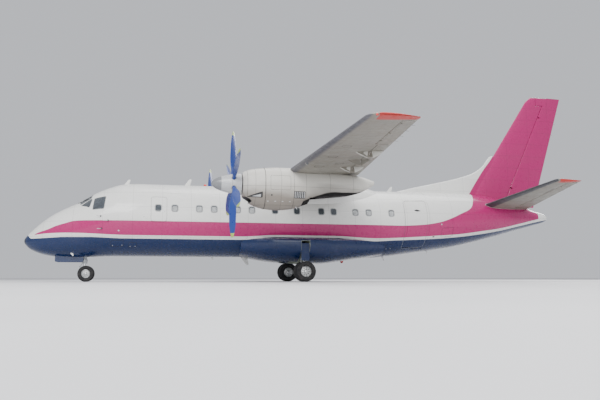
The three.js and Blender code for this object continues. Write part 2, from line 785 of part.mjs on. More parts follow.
function engine() {
  const { radius, wall, end, level } = JET_PIPE;
  const profile = [
    [radius, 0],
    [radius, end - POWER_BLOCK.to + 20],
    [radius - wall, end - POWER_BLOCK.to + 20],
    [radius - wall, 0],
    [radius, 0],
  ];
  const origin = at(POWER_BLOCK.to - 20, ENGINE.y, level);
  return powerBlock(0).add(turned(profile, origin, new THREE.Vector3(-1, 0, 0), SIDES.tube));
}

function nacelle() {
  const { y, level, front } = ENGINE;
  const trough = prism(TROUGH, y - JET_PIPE.clear, y + JET_PIPE.clear, true);
  const outlet = bar(
    at(POWER_BLOCK.to - 30, y, JET_PIPE.level),
    at(JET_PIPE.end + 300, y, JET_PIPE.level),
    JET_PIPE.radius + JET_PIPE.room,
    JET_PIPE.radius + JET_PIPE.room,
    SIDES.nacelle,
  );
  const chin = loft(
    [front - 100, front + CHIN.length].map((station) => {
      const { drop, half, up, down, power } = CHIN;
      const ring = curveRing(station, level - drop, half, up, down, power, SIDES.nacelle);
      for (const point of ring) point.y += y;
      return ring;
    }),
  );
  const clear = PROP.shaft + 12;
  const socket = bar(at(front - 100, y, level), at(front + PROP.socket, y, level), clear, clear, SIDES.tube);
  const room = WING.map(([span, edge, chord, height, ratio]) => [
    span,
    edge - 1,
    chord + 2,
    height,
    ratio * 1.003,
  ]);
  const wing = wingPart(room, 2800, 5600, WING_CAMBER, flatWing(0));
  return largest(
    nacelleLoft(0).subtract(join(wing, trough, outlet, chin, socket, powerBlock(SEAT))),
  );
}

function bladeRings() {
  const sides = SIDES.blade;
  return BLADE.map(([radius, chord, thick, pitch]) => {
    const turn = THREE.MathUtils.degToRad(pitch);
    const ring = [];
    for (let i = 0; i < sides; i += 1) {
      const angle = (2 * Math.PI * i) / sides;
      const across = (Math.cos(angle) * chord) / 2;
      const through = (Math.sin(angle) * thick) / 2;
      ring.push(
        new THREE.Vector3(
          across * Math.sin(turn) + through * Math.cos(turn),
          across * Math.cos(turn) - through * Math.sin(turn),
          radius,
        ),
      );
    }
    return ring;
  });
}

// Hub, shaft and six blades, about the centre of the propeller's disc, with its axis along X
function propeller() {
  const back = ENGINE.disc - ENGINE.front - PROP.socket + SEAT;
  const face = new THREE.Vector3(PROP.hubHalf, 0, 0);
  const hub = bar(face.clone().negate(), face, PROP.hub, PROP.hub, SIDES.wheel);
  const shaft = bar(new THREE.Vector3(back, 0, 0), new THREE.Vector3(0, 0, 0), PROP.shaft, PROP.shaft, SIDES.tube);
  const blade = loft(bladeRings());
  const blades = [];
  for (let i = 0; i < PROP.blades; i += 1) blades.push(blade.rotate([(360 / PROP.blades) * i, 0, 0]));
  return join(hub, shaft, ...blades);
}

// A pointed cap over the hub, bored for it, with a hole for each blade's shank
function spinner() {
  const long = SPINNER.back - ENGINE.spinnerTip;
  const front = SPINNER.back - ENGINE.disc + PROP.hubHalf + 0.5;
  const bore = PROP.hub / Math.cos(Math.PI / SIDES.spinner) + 0.5;
  const steps = 5;
  const profile = [[bore, 0]];
  for (let i = 0; i <= steps; i += 1) {
    const share = i / steps;
    profile.push([SPINNER.radius * Math.sqrt(1 - share ** 1.45), long * share]);
  }
  profile.push([0, front], [bore, front], [bore, 0]);
  const start = new THREE.Vector3(ENGINE.disc - SPINNER.back, 0, 0);
  const body = turned(profile, start, new THREE.Vector3(1, 0, 0), SIDES.spinner);
  const holes = [];
  const [inner, outer] = [150, 600].map((radius) => new THREE.Vector3(0, 0, radius));
  const hole = bar(inner, outer, PROP.shank + 20, PROP.shank + 20, SIDES.tube);
  for (let i = 0; i < PROP.blades; i += 1) holes.push(hole.rotate([(360 / PROP.blades) * i, 0, 0]));
  return largest(body.subtract(join(...holes)));
}

// Landing gear, about the middle of each axle, with the axle along Y

const ACROSS = new THREE.Vector3(0, 1, 0);

// Turned by half a side about the axle, so that a flat of the tread is at the bottom
const onFlat = (piece) => piece.rotate([0, 180 / SIDES.wheel, 0]);

// Half outline of a tyre from its bore out to the tread and back
function tyre(gear, offset) {
  const { tyre: radius, width } = gear;
  const half = width / 2;
  const rim = radius * RIM;
  const profile = [
    [rim, -half * 0.62],
    [radius * 0.75, -half],
    [radius * 0.92, -half * 0.88],
    [radius, -half * 0.4],
    [radius, half * 0.4],
    [radius * 0.92, half * 0.88],
    [radius * 0.75, half],
    [rim, half * 0.62],
    [rim, -half * 0.62],
  ];
  const flats = 1 / Math.cos(Math.PI / SIDES.wheel);
  const round = profile.map(([r, along]) => [r > radius * 0.9 ? r * flats : r, along]);
  const piece = turned(round, new THREE.Vector3(0, offset, 0), ACROSS, SIDES.wheel);
  return onFlat(piece);
}

// Two wheels on one axle
function wheelPair(gear) {
  const { tyre: radius, width, apart } = gear;
  const half = width / 2;
  const rim = radius * RIM - SEAT;
  const axle = radius * AXLE;
  const profile = [
    [0, -half * 0.42],
    [radius * 0.18, -half * 0.3],
    [rim * 0.8, -half * 0.25],
    [rim, -half * 0.6],
    [rim, half * 0.6],
    [rim * 0.82, half * 0.3],
    [radius * 0.22, half * 0.42],
    [radius * 0.16, half * 0.62],
    [0, half * 0.62],
  ];
  const outward = new THREE.Vector3(0, 1, 0);
  const port = turned(profile, new THREE.Vector3(0, apart / 2, 0), outward, SIDES.wheel);
  const inner = apart / 2;
  const shaft = bar(new THREE.Vector3(0, -inner, 0), new THREE.Vector3(0, inner, 0), axle, axle, SIDES.tube);
  return onFlat(join(port, mirrored(port), shaft));
}

// The barrel that the axle runs through
function axleBarrel(gear, centre, half) {
  const axle = gear.tyre * AXLE;
  const a = centre.clone().addScaledVector(ACROSS, -half);
  const b = centre.clone().addScaledVector(ACROSS, half);
  const outer = bar(a, b, axle + 34, axle + 34, SIDES.tube);
  const c = centre.clone().addScaledVector(ACROSS, -half - 40);
  const d = centre.clone().addScaledVector(ACROSS, half + 40);
  const clear = (axle + SEAT) / Math.cos(Math.PI / SIDES.tube);
  return { outer, bore: bar(c, d, clear, clear, SIDES.tube) };
}

const noseAxle = () => at(NOSE_GEAR.station + NOSE_GEAR.trail, 0, NOSE_GEAR.tyre - AXIS);
const mainAxle = () => at(MAIN_GEAR.station, MAIN_GEAR.y, MAIN_GEAR.tyre - AXIS);

function noseLeg() {
  const { station } = NOSE_GEAR;
  const { trunnion: pivot, knee: bend, shelf: top, ahead } = NOSE_LEG;
  const knee = at(station, 0, bend);
  const reach = NOSE_WELL.half - SEAT;
  const trunnion = bar(at(station, -reach, pivot), at(station, reach, pivot), 48);
  const strut = bar(at(station, 0, STEER_TOP + SEAT), at(station, 0, top), 78, 78, SIDES.tube);
  const collar = bar(at(station, 0, STEER_TOP + SEAT), at(station, 0, STEER_TOP + 90), 100, 100, SIDES.tube);
  const shelf = bar(at(station - ahead, -reach, top), at(station - ahead, reach, top), 30);
  const brace = bar(knee, at(station - ahead, 0, top), 34);
  return join(trunnion, strut, collar, shelf, brace);
}

function noseFork() {
  const { station } = NOSE_GEAR;
  const axle = noseAxle();
  const piston = bar(at(station, 0, STEER_TOP), at(station, 0, STEER_TOP - 300), 54, 54, SIDES.tube);
  const heel = bar(at(station, 0, STEER_TOP - 270), axle.clone(), 52, 52, SIDES.tube);
  const crown = bar(at(station, 0, STEER_TOP), at(station, 0, STEER_TOP - 60), 92, 92, SIDES.tube);
  const barrel = axleBarrel(NOSE_GEAR, axle, 62);
  const link = bar(at(station - 80, 0, STEER_TOP - 40), at(station - 170, 0, STEER_TOP - 190), 22);
  const arm = bar(at(station - 170, 0, STEER_TOP - 190), at(station, 0, STEER_TOP - 290), 22);
  return join(piston, heel, crown, barrel.outer, link, arm).subtract(barrel.bore);
}

function mainLeg() {
  const { station } = MAIN_GEAR;
  const reach = LEG_SLOT.half - SEAT;
  const { y, level, braceY, braceLevel, linkAhead } = MAIN_LEG;
  const { half, inner, outer, low, high } = MAIN_DOOR;
  const top = at(station, y, level);
  const axle = mainAxle();
  const barrel = axleBarrel(MAIN_GEAR, axle, 78);
  const elbow = axle.clone().lerp(top, 0.5);
  const trunnion = bar(at(station - reach, y, level), at(station + reach, y, level), 70);
  const cylinder = bar(elbow, top, 88, 88, SIDES.tube);
  const piston = bar(axle.clone(), elbow, 55, 55, SIDES.tube);
  const brace = bar(axle.clone().lerp(top, 0.62), at(station, braceY, braceLevel), 40);
  const anchor = bar(
    at(station - reach, braceY, braceLevel),
    at(station + reach, braceY, braceLevel),
    44,
  );
  const hinge = axle.clone().lerp(top, 0.42).add(new THREE.Vector3(linkAhead, 0, 0));
  const lower = bar(axle.clone().lerp(top, 0.08), hinge, 24);
  const upper = bar(hinge, axle.clone().lerp(top, 0.62), 24);
  const panel = (grow) =>
    block([station - half - grow, inner - grow, low], [station + half + grow, outer + grow, high]);
  const stays = [0.72, 0.9].map((share) => {
    const spot = axle.clone().lerp(top, share);
    return bar(spot, new THREE.Vector3(spot.x, inner + 4, spot.z), 20);
  });
  const leg = join(trunnion, cylinder, piston, brace, anchor, lower, upper, barrel.outer, ...stays);
  return { leg: leg.subtract(join(panel(SEAT), barrel.bore)), door: panel(0) };
}

// Two doors hang open from the sides of the nose well
function noseDoor() {
  const { from, to, half } = NOSE_WELL;
  const { hinge, drop, rise, thick, rear } = NOSE_DOOR;
  const face = half - SEAT;
  return block([from + 20, face - thick, hinge - drop], [to - rear, face, hinge + rise]);
}

// The scene graph

const paint = (color, roughness, metalness) =>
  new THREE.MeshStandardMaterial({ color, roughness, metalness });
const WHITE = paint(0xe9ebe6, 0.35, 0.1);
const BLUE = paint(0x16305f, 0.25, 0.1);
const MAGENTA = paint(0xb2306b, 0.35, 0.1);
const GREY = paint(0x8b8982, 0.5, 0.2);
const BLADE_BLUE = paint(0x2a4a9c, 0.35, 0.1);
const STEEL = paint(0x9aa0a6, 0.35, 0.8);
const SOOT = paint(0x1c1a18, 0.8, 0.3);
const RUBBER = paint(0x1a1a1c, 0.85, 0);

const airliner = new THREE.Group();
airliner.name = "airliner";

function add(name, piece, material, parent = airliner, position) {
  const mesh = new THREE.Mesh(geometryOf(piece), material);
  mesh.name = name;
  if (position) mesh.position.copy(position);
  parent.add(mesh);
  return mesh;
}

function addFuselage() {
  const { radome, forward, centre, rear, tail } = BREAKS;
  add("radome", bodyNode(0, radome), BLUE);
  add("forward_fuselage", forwardFuselage(), WHITE);
  add("centre_fuselage", bodyNode(forward, centre).subtract(wheelWells()), WHITE);
  add("rear_fuselage", rearFuselage(), WHITE);
  add("tail_cone", bodyNode(rear, tail), MAGENTA);
  add("belly_blister", bellyBlister(), BLUE);
  add("passenger_door", passengerDoor(), WHITE);
}

function addWings() {
  add("wing_centre", wingCentre(), GREY);
  for (const [name, side] of [["port", PORT], ["starboard", STARBOARD]]) {
    add(`wing_${name}`, onSide(outerWing(), side), GREY);
    add(`inner_flap_${name}`, onSide(flap(INNER_FLAP, BRACKET_SPANS.inner), side), GREY);
    add(`outer_flap_${name}`, onSide(flap(OUTER_FLAP, BRACKET_SPANS.outer), side), GREY);
    add(`aileron_${name}`, onSide(aileron(), side), GREY);
    add(`tailplane_${name}`, onSide(tailplane(), side), GREY);
    add(`elevator_${name}`, onSide(elevator(), side), GREY);
  }
  add("fin", fin(), MAGENTA);
  add("rudder", rudder(), MAGENTA);
}

function addEngines() {
  for (const [name, side] of [["port", PORT], ["starboard", STARBOARD]]) {
    add(`nacelle_${name}`, onSide(nacelle(), side), WHITE);
    add(`engine_${name}`, onSide(engine(), side), SOOT);
    const disc = new THREE.Group();
    disc.position.copy(at(ENGINE.disc, side * ENGINE.y, ENGINE.level));
    add(`propeller_${name}`, propeller(), BLADE_BLUE, disc);
    add(`spinner_${name}`, spinner(), STEEL, disc);
    airliner.add(disc);
  }
}

function addGear() {
  add("nose_leg", noseLeg(), STEEL);
  add("nose_fork", noseFork(), STEEL);
  addWheels("nose", NOSE_GEAR, noseAxle());
  add("nose_door_port", noseDoor(), BLUE);
  add("nose_door_starboard", mirrored(noseDoor()), BLUE);
  for (const [name, side] of [["port", PORT], ["starboard", STARBOARD]]) {
    const { leg, door } = mainLeg();
    add(`main_leg_${name}`, onSide(leg, side), STEEL);
    add(`main_door_${name}`, onSide(door, side), BLUE);
    const axle = mainAxle();
    axle.y *= side;
    addWheels(`main_${name}`, MAIN_GEAR, axle);
  }
}

function addWheels(name, gear, axle) {
  const group = new THREE.Group();
  group.position.copy(axle);
  add(`${name}_wheels`, wheelPair(gear), WHITE, group);
  add(`${name}_tyre_left`, tyre(gear, gear.apart / 2), RUBBER, group);
  add(`${name}_tyre_right`, tyre(gear, -gear.apart / 2), RUBBER, group);
  airliner.add(group);
}

addFuselage();
addWings();
addEngines();
addGear();

export default airliner;
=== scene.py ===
"""The looks of a twin-engined high-wing turboprop airliner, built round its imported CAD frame.

Metres, with +X forward, +Y to port and +Z up. A station is the distance aft of the nose tip, and a
level is the height above the fuselage axis. Tables give their columns in the comment over them.
"""

import json
import math

import bpy
import numpy as np
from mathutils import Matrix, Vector

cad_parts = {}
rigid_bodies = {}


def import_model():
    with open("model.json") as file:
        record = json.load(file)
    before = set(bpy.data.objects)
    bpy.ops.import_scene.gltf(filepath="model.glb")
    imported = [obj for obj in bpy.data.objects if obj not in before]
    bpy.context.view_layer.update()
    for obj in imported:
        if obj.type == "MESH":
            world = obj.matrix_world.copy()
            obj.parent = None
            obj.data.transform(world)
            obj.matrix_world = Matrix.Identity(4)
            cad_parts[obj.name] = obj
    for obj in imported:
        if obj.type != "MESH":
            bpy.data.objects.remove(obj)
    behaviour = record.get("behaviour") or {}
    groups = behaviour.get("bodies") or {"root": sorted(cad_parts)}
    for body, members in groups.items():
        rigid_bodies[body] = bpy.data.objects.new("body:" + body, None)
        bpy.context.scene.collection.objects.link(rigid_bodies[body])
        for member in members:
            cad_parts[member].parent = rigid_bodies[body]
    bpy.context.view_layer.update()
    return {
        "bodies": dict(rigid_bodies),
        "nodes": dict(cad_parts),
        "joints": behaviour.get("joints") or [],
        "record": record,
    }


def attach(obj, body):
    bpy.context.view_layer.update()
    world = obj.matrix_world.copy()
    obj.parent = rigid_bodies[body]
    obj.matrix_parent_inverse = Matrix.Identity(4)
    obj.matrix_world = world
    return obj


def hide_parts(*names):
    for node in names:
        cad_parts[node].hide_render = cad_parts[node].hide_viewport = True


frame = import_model()

# Driving dimensions
LENGTH = 22.605
HALF_SPAN = 24.505 / 2
AXIS = 2.35  # the fuselage axis above the floor
FIN_TOP = 8.232 - AXIS
NOSE_X = LENGTH / 2
PORT = 1
STARBOARD = -1
SIDES = {"port": PORT, "starboard": STARBOARD}

# Directions, and the frame of the side view: an origin, then aft, up and across
FORWARD, ACROSS, UP = np.eye(3)
AFT = -FORWARD
ORIGIN = np.array([NOSE_X, 0.0, AXIS])
UPRIGHT = (ORIGIN, AFT, UP, ACROSS)

# Fuselage: station, level of the section's centre, radius
BODY = [
    (0, -0.860, 0.030),
    (0.06, -0.855, 0.150),
    (0.18, -0.845, 0.280),
    (0.38, -0.800, 0.440),
    (0.65, -0.725, 0.610),
    (1.00, -0.630, 0.775),
    (1.50, -0.515, 0.935),
    (2.00, -0.400, 1.060),
    (2.45, -0.235, 1.190),
    (3.00, -0.095, 1.300),
    (3.50, -0.020, 1.370),
    (4.10, 0, 1.390),
    (13.3, 0, 1.390),
    (14.0, 0.030, 1.360),
    (15.0, 0.100, 1.300),
    (16.0, 0.170, 1.235),
    (17.0, 0.245, 1.155),
    (18.0, 0.345, 1.035),
    (19.0, 0.410, 0.855),
    (20.0, 0.435, 0.605),
    (21.0, 0.405, 0.312),
    (21.5, 0.419, 0.183),
    (21.64, 0.410, 0.095),
]
RADOME_END, FORWARD_END, CENTRE_END, REAR_END, TAIL_END = 1.0, 6.3, 13.6, 17.6, 21.64
SEAT = 0.0003  # gap between sections that touch

# Blister under the belly: station, half width, level of the bottom
BELLY = [
    (7.9, 1.08, -1.34),
    (8.4, 1.38, -1.45),
    (9.0, 1.62, -1.55),
    (9.7, 1.78, -1.62),
    (10.3, 1.84, -1.65),
    (11.1, 1.83, -1.65),
    (11.8, 1.67, -1.58),
    (12.5, 1.43, -1.48),
    (13.1, 1.22, -1.40),
    (13.7, 1.00, -1.31),
]
BELLY_LEVEL, BELLY_RISE, BELLY_POWER = -0.80, 0.14, 2.8

# Hump over the cabin: station, half width, level of the top
HUMP = [
    (7.15, 0.76, 1.31),
    (7.7, 1.04, 1.52),
    (8.4, 1.18, 1.69),
    (9.1, 1.24, 1.79),
    (10.0, 1.25, 1.84),
    (11.0, 1.23, 1.80),
    (12.0, 1.17, 1.70),
    (12.8, 1.03, 1.57),
    (13.6, 0.80, 1.36),
]
HUMP_LEVEL, HUMP_DROP, HUMP_POWER = 0.75, 0.26, 2.6

# Livery, by station: top of the magenta stripe, its foot, and top of the navy belly
MAGENTA_TOP = [
    (0.30, -0.70),
    (0.50, -0.58),
    (0.90, -0.45),
    (1.20, -0.32),
    (1.50, -0.23),
    (1.80, -0.15),
    (2.10, -0.13),
    (14.2, -0.13),
    (15.2, -0.08),
    (16.0, 0.04),
    (16.5, 0.20),
    (17.0, 0.42),
    (17.5, 0.67),
    (17.9, 1.35),
    (18.6, 2.40),
    (19.1, 3.05),
    (19.5, 3.74),
    (21.7, 7.50),
]
MAGENTA_FOOT = [
    (0.30, -0.66),
    (0.90, -0.60),
    (1.50, -0.58),
    (2.10, -0.59),
    (3.00, -0.63),
    (3.60, -0.65),
    (7.80, -0.65),
    (9.30, -0.575),
    (11.5, -0.575),
    (13.2, -0.645),
    (14.0, -0.62),
    (15.0, -0.56),
    (16.0, -0.49),
    (17.0, -0.41),
    (18.0, -0.27),
    (19.0, -0.12),
    (20.0, 0.10),
    (21.0, 0.33),
    (21.7, 0.48),
]
NAVY_TOP = [
    (0.00, -0.40),
    (0.12, -0.62),
    (0.30, -0.78),
    (0.90, -0.76),
    (1.50, -0.73),
    (2.40, -0.73),
    (3.60, -0.77),
    (7.80, -0.77),
    (9.30, -0.655),
    (11.5, -0.655),
    (13.2, -0.76),
    (14.0, -0.72),
    (15.0, -0.67),
    (16.0, -0.61),
    (17.0, -0.52),
    (18.0, -0.39),
    (19.0, -0.22),
    (20.0, 0.00),
    (21.0, 0.22),
    (21.7, 0.36),
]
MAGENTA_END = 21.12  # station where the magenta ends on the tail cone

# Wheel bays, the steps of the CAD's own cuts
NOSE_WELL = {"from": 1.1, "to": 2.42, "half": 0.25, "top": -0.79}
MAIN_WELL = {"half": 0.44, "inner": 0.09, "outer": 0.96, "top": -0.90}
LEG_SLOT = {"half": 0.17, "outer": 1.95, "top": -0.80}
MAIN_GEAR_STATION = 10.26

# Passenger door at the rear on the port side
DOOR = {"from": 14.48, "to": 15.44, "top": 0.90, "sill": -0.97, "gap": 0.008}


# Numbers and directions


def between(rows, where):
    """Every column of a table at the places `where`, straight between the rows."""
    table = np.asarray(rows, float)
    return np.stack([np.interp(where, table[:, 0], column) for column in table.T[1:]], -1)


def flowing(rows, where):
    """Every column of a table at the places `where`, along a smooth curve. Between two rows it is a
    cubic. Its slope at a row is the harmonic mean of the slopes on both sides, or nothing at a
    peak, so the curve never goes past the rows' own values."""
    table = np.asarray(rows, float)
    place, values = table[:, 0], table[:, 1:]
    step = np.diff(place)[:, None]
    slope = np.diff(values, axis=0) / step
    product = slope[:-1] * slope[1:]
    total = np.where(product > 0, slope[:-1] + slope[1:], 1)
    middle = np.where(product > 0, 2 * product / total, 0)
    tangent = np.vstack([slope[:1], middle, slope[-1:]])
    where = np.clip(np.atleast_1d(np.asarray(where, float)), place[0], place[-1])
    row = np.clip(np.searchsorted(place, where, side="right") - 1, 0, len(place) - 2)
    share = ((where - place[row]) / step[row, 0])[:, None]
    left = (1 - share) ** 2 * ((1 + 2 * share) * values[row] + share * step[row] * tangent[row])
    right = share**2 * ((3 - 2 * share) * values[row + 1] - (1 - share) * step[row] * tangent[row + 1])
    return left + right


def spot(station, y, level):
    """Points of the row frame from station, distance to port and level."""
    station, y, level = np.broadcast_arrays(station, y, level)
    return np.stack([NOSE_X - station, y, AXIS + level], -1).astype(float)


def steps(first, last, size):
    """Even places from first to last, no more than size apart."""
    return np.linspace(first, last, max(2, int(math.ceil(abs(last - first) / size)) + 1))


def round_steps(count, shift=0.0):
    """Even angles of a full turn, from a share of a step on."""
    return 2 * np.pi * (np.arange(count) + shift) / count


def spokes(first, second, count, shift=0.0):
    """Directions evenly round a circle that lies in two directions."""
    angle = round_steps(count, shift)[:, None]
    return np.cos(angle) * first + np.sin(angle) * second


def unit(vectors):
    """Vectors brought to a length of one."""
    return vectors / np.linalg.norm(vectors, axis=-1, keepdims=True)


def squarish(angle, power):
    """Cosine and sine of angles, each raised to two over a power: above 2 it squares the circle."""
    return [np.sign(part) * np.abs(part) ** (2 / power) for part in (np.cos(angle), np.sin(angle))]


# Meshes: a shape is a pair of points and faces


def wrapped(index):
    """The quads of a grid of indices whose columns close on themselves."""
    nxt = np.roll(index, -1, axis=1)
    return np.stack([index[:-1], nxt[:-1], nxt[1:], index[1:]], -1).reshape(-1, 4)


def fan(ring, centre):
    """The triangles from a closed ring of indices to one centre."""
    return np.stack([ring, np.roll(ring, -1), np.full(len(ring), centre)], -1)


def outward(points, faces):
    """The faces turned so that the enclosed volume is positive."""
    volume = 0.0
    for face in faces:
        corner = points[face]
        for k in range(1, face.shape[1] - 1):
            volume += np.einsum("ij,ij->i", corner[:, 0], np.cross(corner[:, k], corner[:, k + 1])).sum()
    return points, [face if volume > 0 else face[:, ::-1] for face in faces]


def loft(rings):
    """A closed skin over rings of points [ring, corner, xyz], each end closed to its middle."""
    rows, columns = rings.shape[:2]
    points = np.vstack([rings.reshape(-1, 3), rings[0].mean(0), rings[-1].mean(0)])
    index = np.arange(rows * columns).reshape(rows, columns)
    ends = [fan(index[0], rows * columns)[:, ::-1], fan(index[-1], rows * columns + 1)]
    return outward(points, [wrapped(index), np.vstack(ends)])


def torus(rings):
    """A closed skin over rings that also close on themselves along the other direction."""
    rows, columns = rings.shape[:2]
    index = np.arange(rows * columns).reshape(rows, columns)
    return outward(rings.reshape(-1, 3), [wrapped(np.vstack([index, index[:1]]))])


def joined(*shapes):
    """Several shapes as one."""
    points, faces, first = [], [], 0
    for shape_points, shape_faces in shapes:
        points.append(shape_points)
        faces += [face + first for face in shape_faces]
        first += len(shape_points)
    return np.vstack(points), faces


def mirrored(shape):
    """A shape on the other side of the aeroplane."""
    points, faces = shape
    return points * (1, -1, 1), [face[:, ::-1] for face in faces]


def on_side(shape, side):
    """A port shape as it is, or on the other side."""
    return shape if side == PORT else mirrored(shape)


def box(low, high):
    """A block between two corners given as station, y and level."""
    corners = [[a, b, c] for a in (0, 1) for b in (0, 1) for c in (0, 1)]
    points = spot(*np.where(corners, high, low).T)
    quads = np.array([[0, 1, 3, 2], [4, 6, 7, 5], [0, 4, 5, 1], [2, 3, 7, 6], [0, 2, 6, 4], [1, 5, 7, 3]])
    return outward(points, [quads])


def basis(direction):
    """Two directions square to a direction and to each other."""
    direction = unit(direction)
    first = unit(np.cross(direction, UP if abs(direction[2]) < 0.9 else FORWARD))
    return first, np.cross(direction, first)


def turned(profile, start, axis, sides=48, close=loft):
    """A profile of radius and distance along, turned round an axis that leaves from a point. Its
    two ends close to the axis, or to each other when `torus` closes it."""
    profile = np.asarray(profile, float)
    axis = unit(np.asarray(axis, float))
    along = np.asarray(start, float) + profile[:, 1, None, None] * axis
    return close(along + profile[:, 0, None, None] * spokes(*basis(axis), sides))


def rod(start, end, radius, end_radius=None, sides=20):
    """A round bar or cone between two points."""
    start, end = np.asarray(start, float), np.asarray(end, float)
    profile = [(radius, 0), (radius if end_radius is None else end_radius, np.linalg.norm(end - start))]
    return turned(profile, start, end - start, sides)


def bar(middle, half, radius, sides=20):
    """A round bar across the aeroplane, half of it on each side of its middle."""
    return rod(middle - half * ACROSS, middle + half * ACROSS, radius, sides=sides)


def tube(path, radius, sides=12):
    """A round tube along a path of points, with the rings square to the path."""
    path = np.asarray(path, float)
    along = unit(np.gradient(path, axis=0))
    across, _ = basis(along[0])
    rings = []
    for point, direction in zip(path, along):
        across = unit(across - direction * (across @ direction))
        rings.append(point + radius * spokes(across, np.cross(direction, across), sides))
    return loft(np.array(rings))


def mesh_of(name, shape):
    """A shape as a Blender mesh."""
    points, faces = shape
    mesh = bpy.data.meshes.new(name)
    mesh.from_pydata(points.tolist(), [], [row for face in faces for row in face.tolist()])
    mesh.update()
    return mesh


def shape_of(mesh):
    """A Blender mesh back as a shape, its faces grouped by their number of corners."""
    points = np.empty(len(mesh.vertices) * 3)
    mesh.vertices.foreach_get("co", points)
    corner = np.empty(len(mesh.loops), int)
    mesh.loops.foreach_get("vertex_index", corner)
    start, count = np.empty(len(mesh.polygons), int), np.empty(len(mesh.polygons), int)
    mesh.polygons.foreach_get("loop_start", start)
    mesh.polygons.foreach_get("loop_total", count)
    faces = [corner[start[count == n][:, None] + np.arange(n)] for n in np.unique(count)]
    return points.reshape(-1, 3), faces


def carved(shape, *cutters, operation="DIFFERENCE"):
    """A closed shape less the cutters, or only what it has in common with them."""
    scene = bpy.context.scene
    base = bpy.data.objects.new("carved", mesh_of("carved", shape))
    scene.collection.objects.link(base)
    helpers = []
    for cutter in cutters:
        helper = bpy.data.objects.new("cutter", mesh_of("cutter", cutter))
        scene.collection.objects.link(helper)
        helpers.append(helper)
        modifier = base.modifiers.new("cut", "BOOLEAN")
        modifier.operation, modifier.solver, modifier.object = operation, "MANIFOLD", helper
    bpy.context.view_layer.update()
    done = base.evaluated_get(bpy.context.evaluated_depsgraph_get()).to_mesh()
    result = shape_of(done)
    for object_ in [base, *helpers]:
        old = object_.data
        bpy.data.objects.remove(object_)
        bpy.data.meshes.remove(old)
    return result


SHARP = math.radians(32)


def smooth(mesh):
    """Smooth shading with a crease where two faces meet at more than SHARP."""
    mesh.shade_smooth()
    normal = np.empty(len(mesh.polygons) * 3)
    mesh.polygons.foreach_get("normal", normal)
    normal = normal.reshape(-1, 3)
    edge = np.empty(len(mesh.loops), int)
    mesh.loops.foreach_get("edge_index", edge)
    count = np.empty(len(mesh.polygons), int)
    mesh.polygons.foreach_get("loop_total", count)
    owner = np.repeat(np.arange(len(count)), count)
    order = np.argsort(edge, kind="stable")
    edge, owner = edge[order], owner[order]
    pair = np.flatnonzero(edge[1:] == edge[:-1])
    bend = np.einsum("ij,ij->i", normal[owner[pair]], normal[owner[pair + 1]])
    sharp = np.zeros(len(mesh.edges), bool)
    sharp[edge[pair[bend < math.cos(SHARP)]]] = True
    layer = mesh.attributes.get("sharp_edge") or mesh.attributes.new("sharp_edge", "BOOLEAN", "EDGE")
    layer.data.foreach_set("value", sharp)


def piece(name, shape, material, body="airframe", replaces=(), slot=None, traits=None):
    """A named object from a shape. `traits` are its point attributes, each a function of station,
    distance to port and level."""
    mesh = mesh_of(name, shape)
    smooth(mesh)
    mesh.materials.append(material)
    points = shape[0]
    for trait, rule in (traits or {}).items():
        value = rule(NOSE_X - points[:, 0], points[:, 1], points[:, 2] - AXIS)
        layer = mesh.attributes.new(trait, "FLOAT", "POINT")
        layer.data.foreach_set("value", np.asarray(value, np.float32))
    made = bpy.data.objects.new(name, mesh)
    bpy.context.scene.collection.objects.link(made)
    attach(made, body)
    if replaces:
        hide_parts(*replaces)


def side_piece(stem, name, shape, *rest, **more):
    """A piece of one side, from the port one's shape."""
    piece(f"{stem}_{name}", on_side(shape, SIDES[name]), *rest, **more)


# Materials


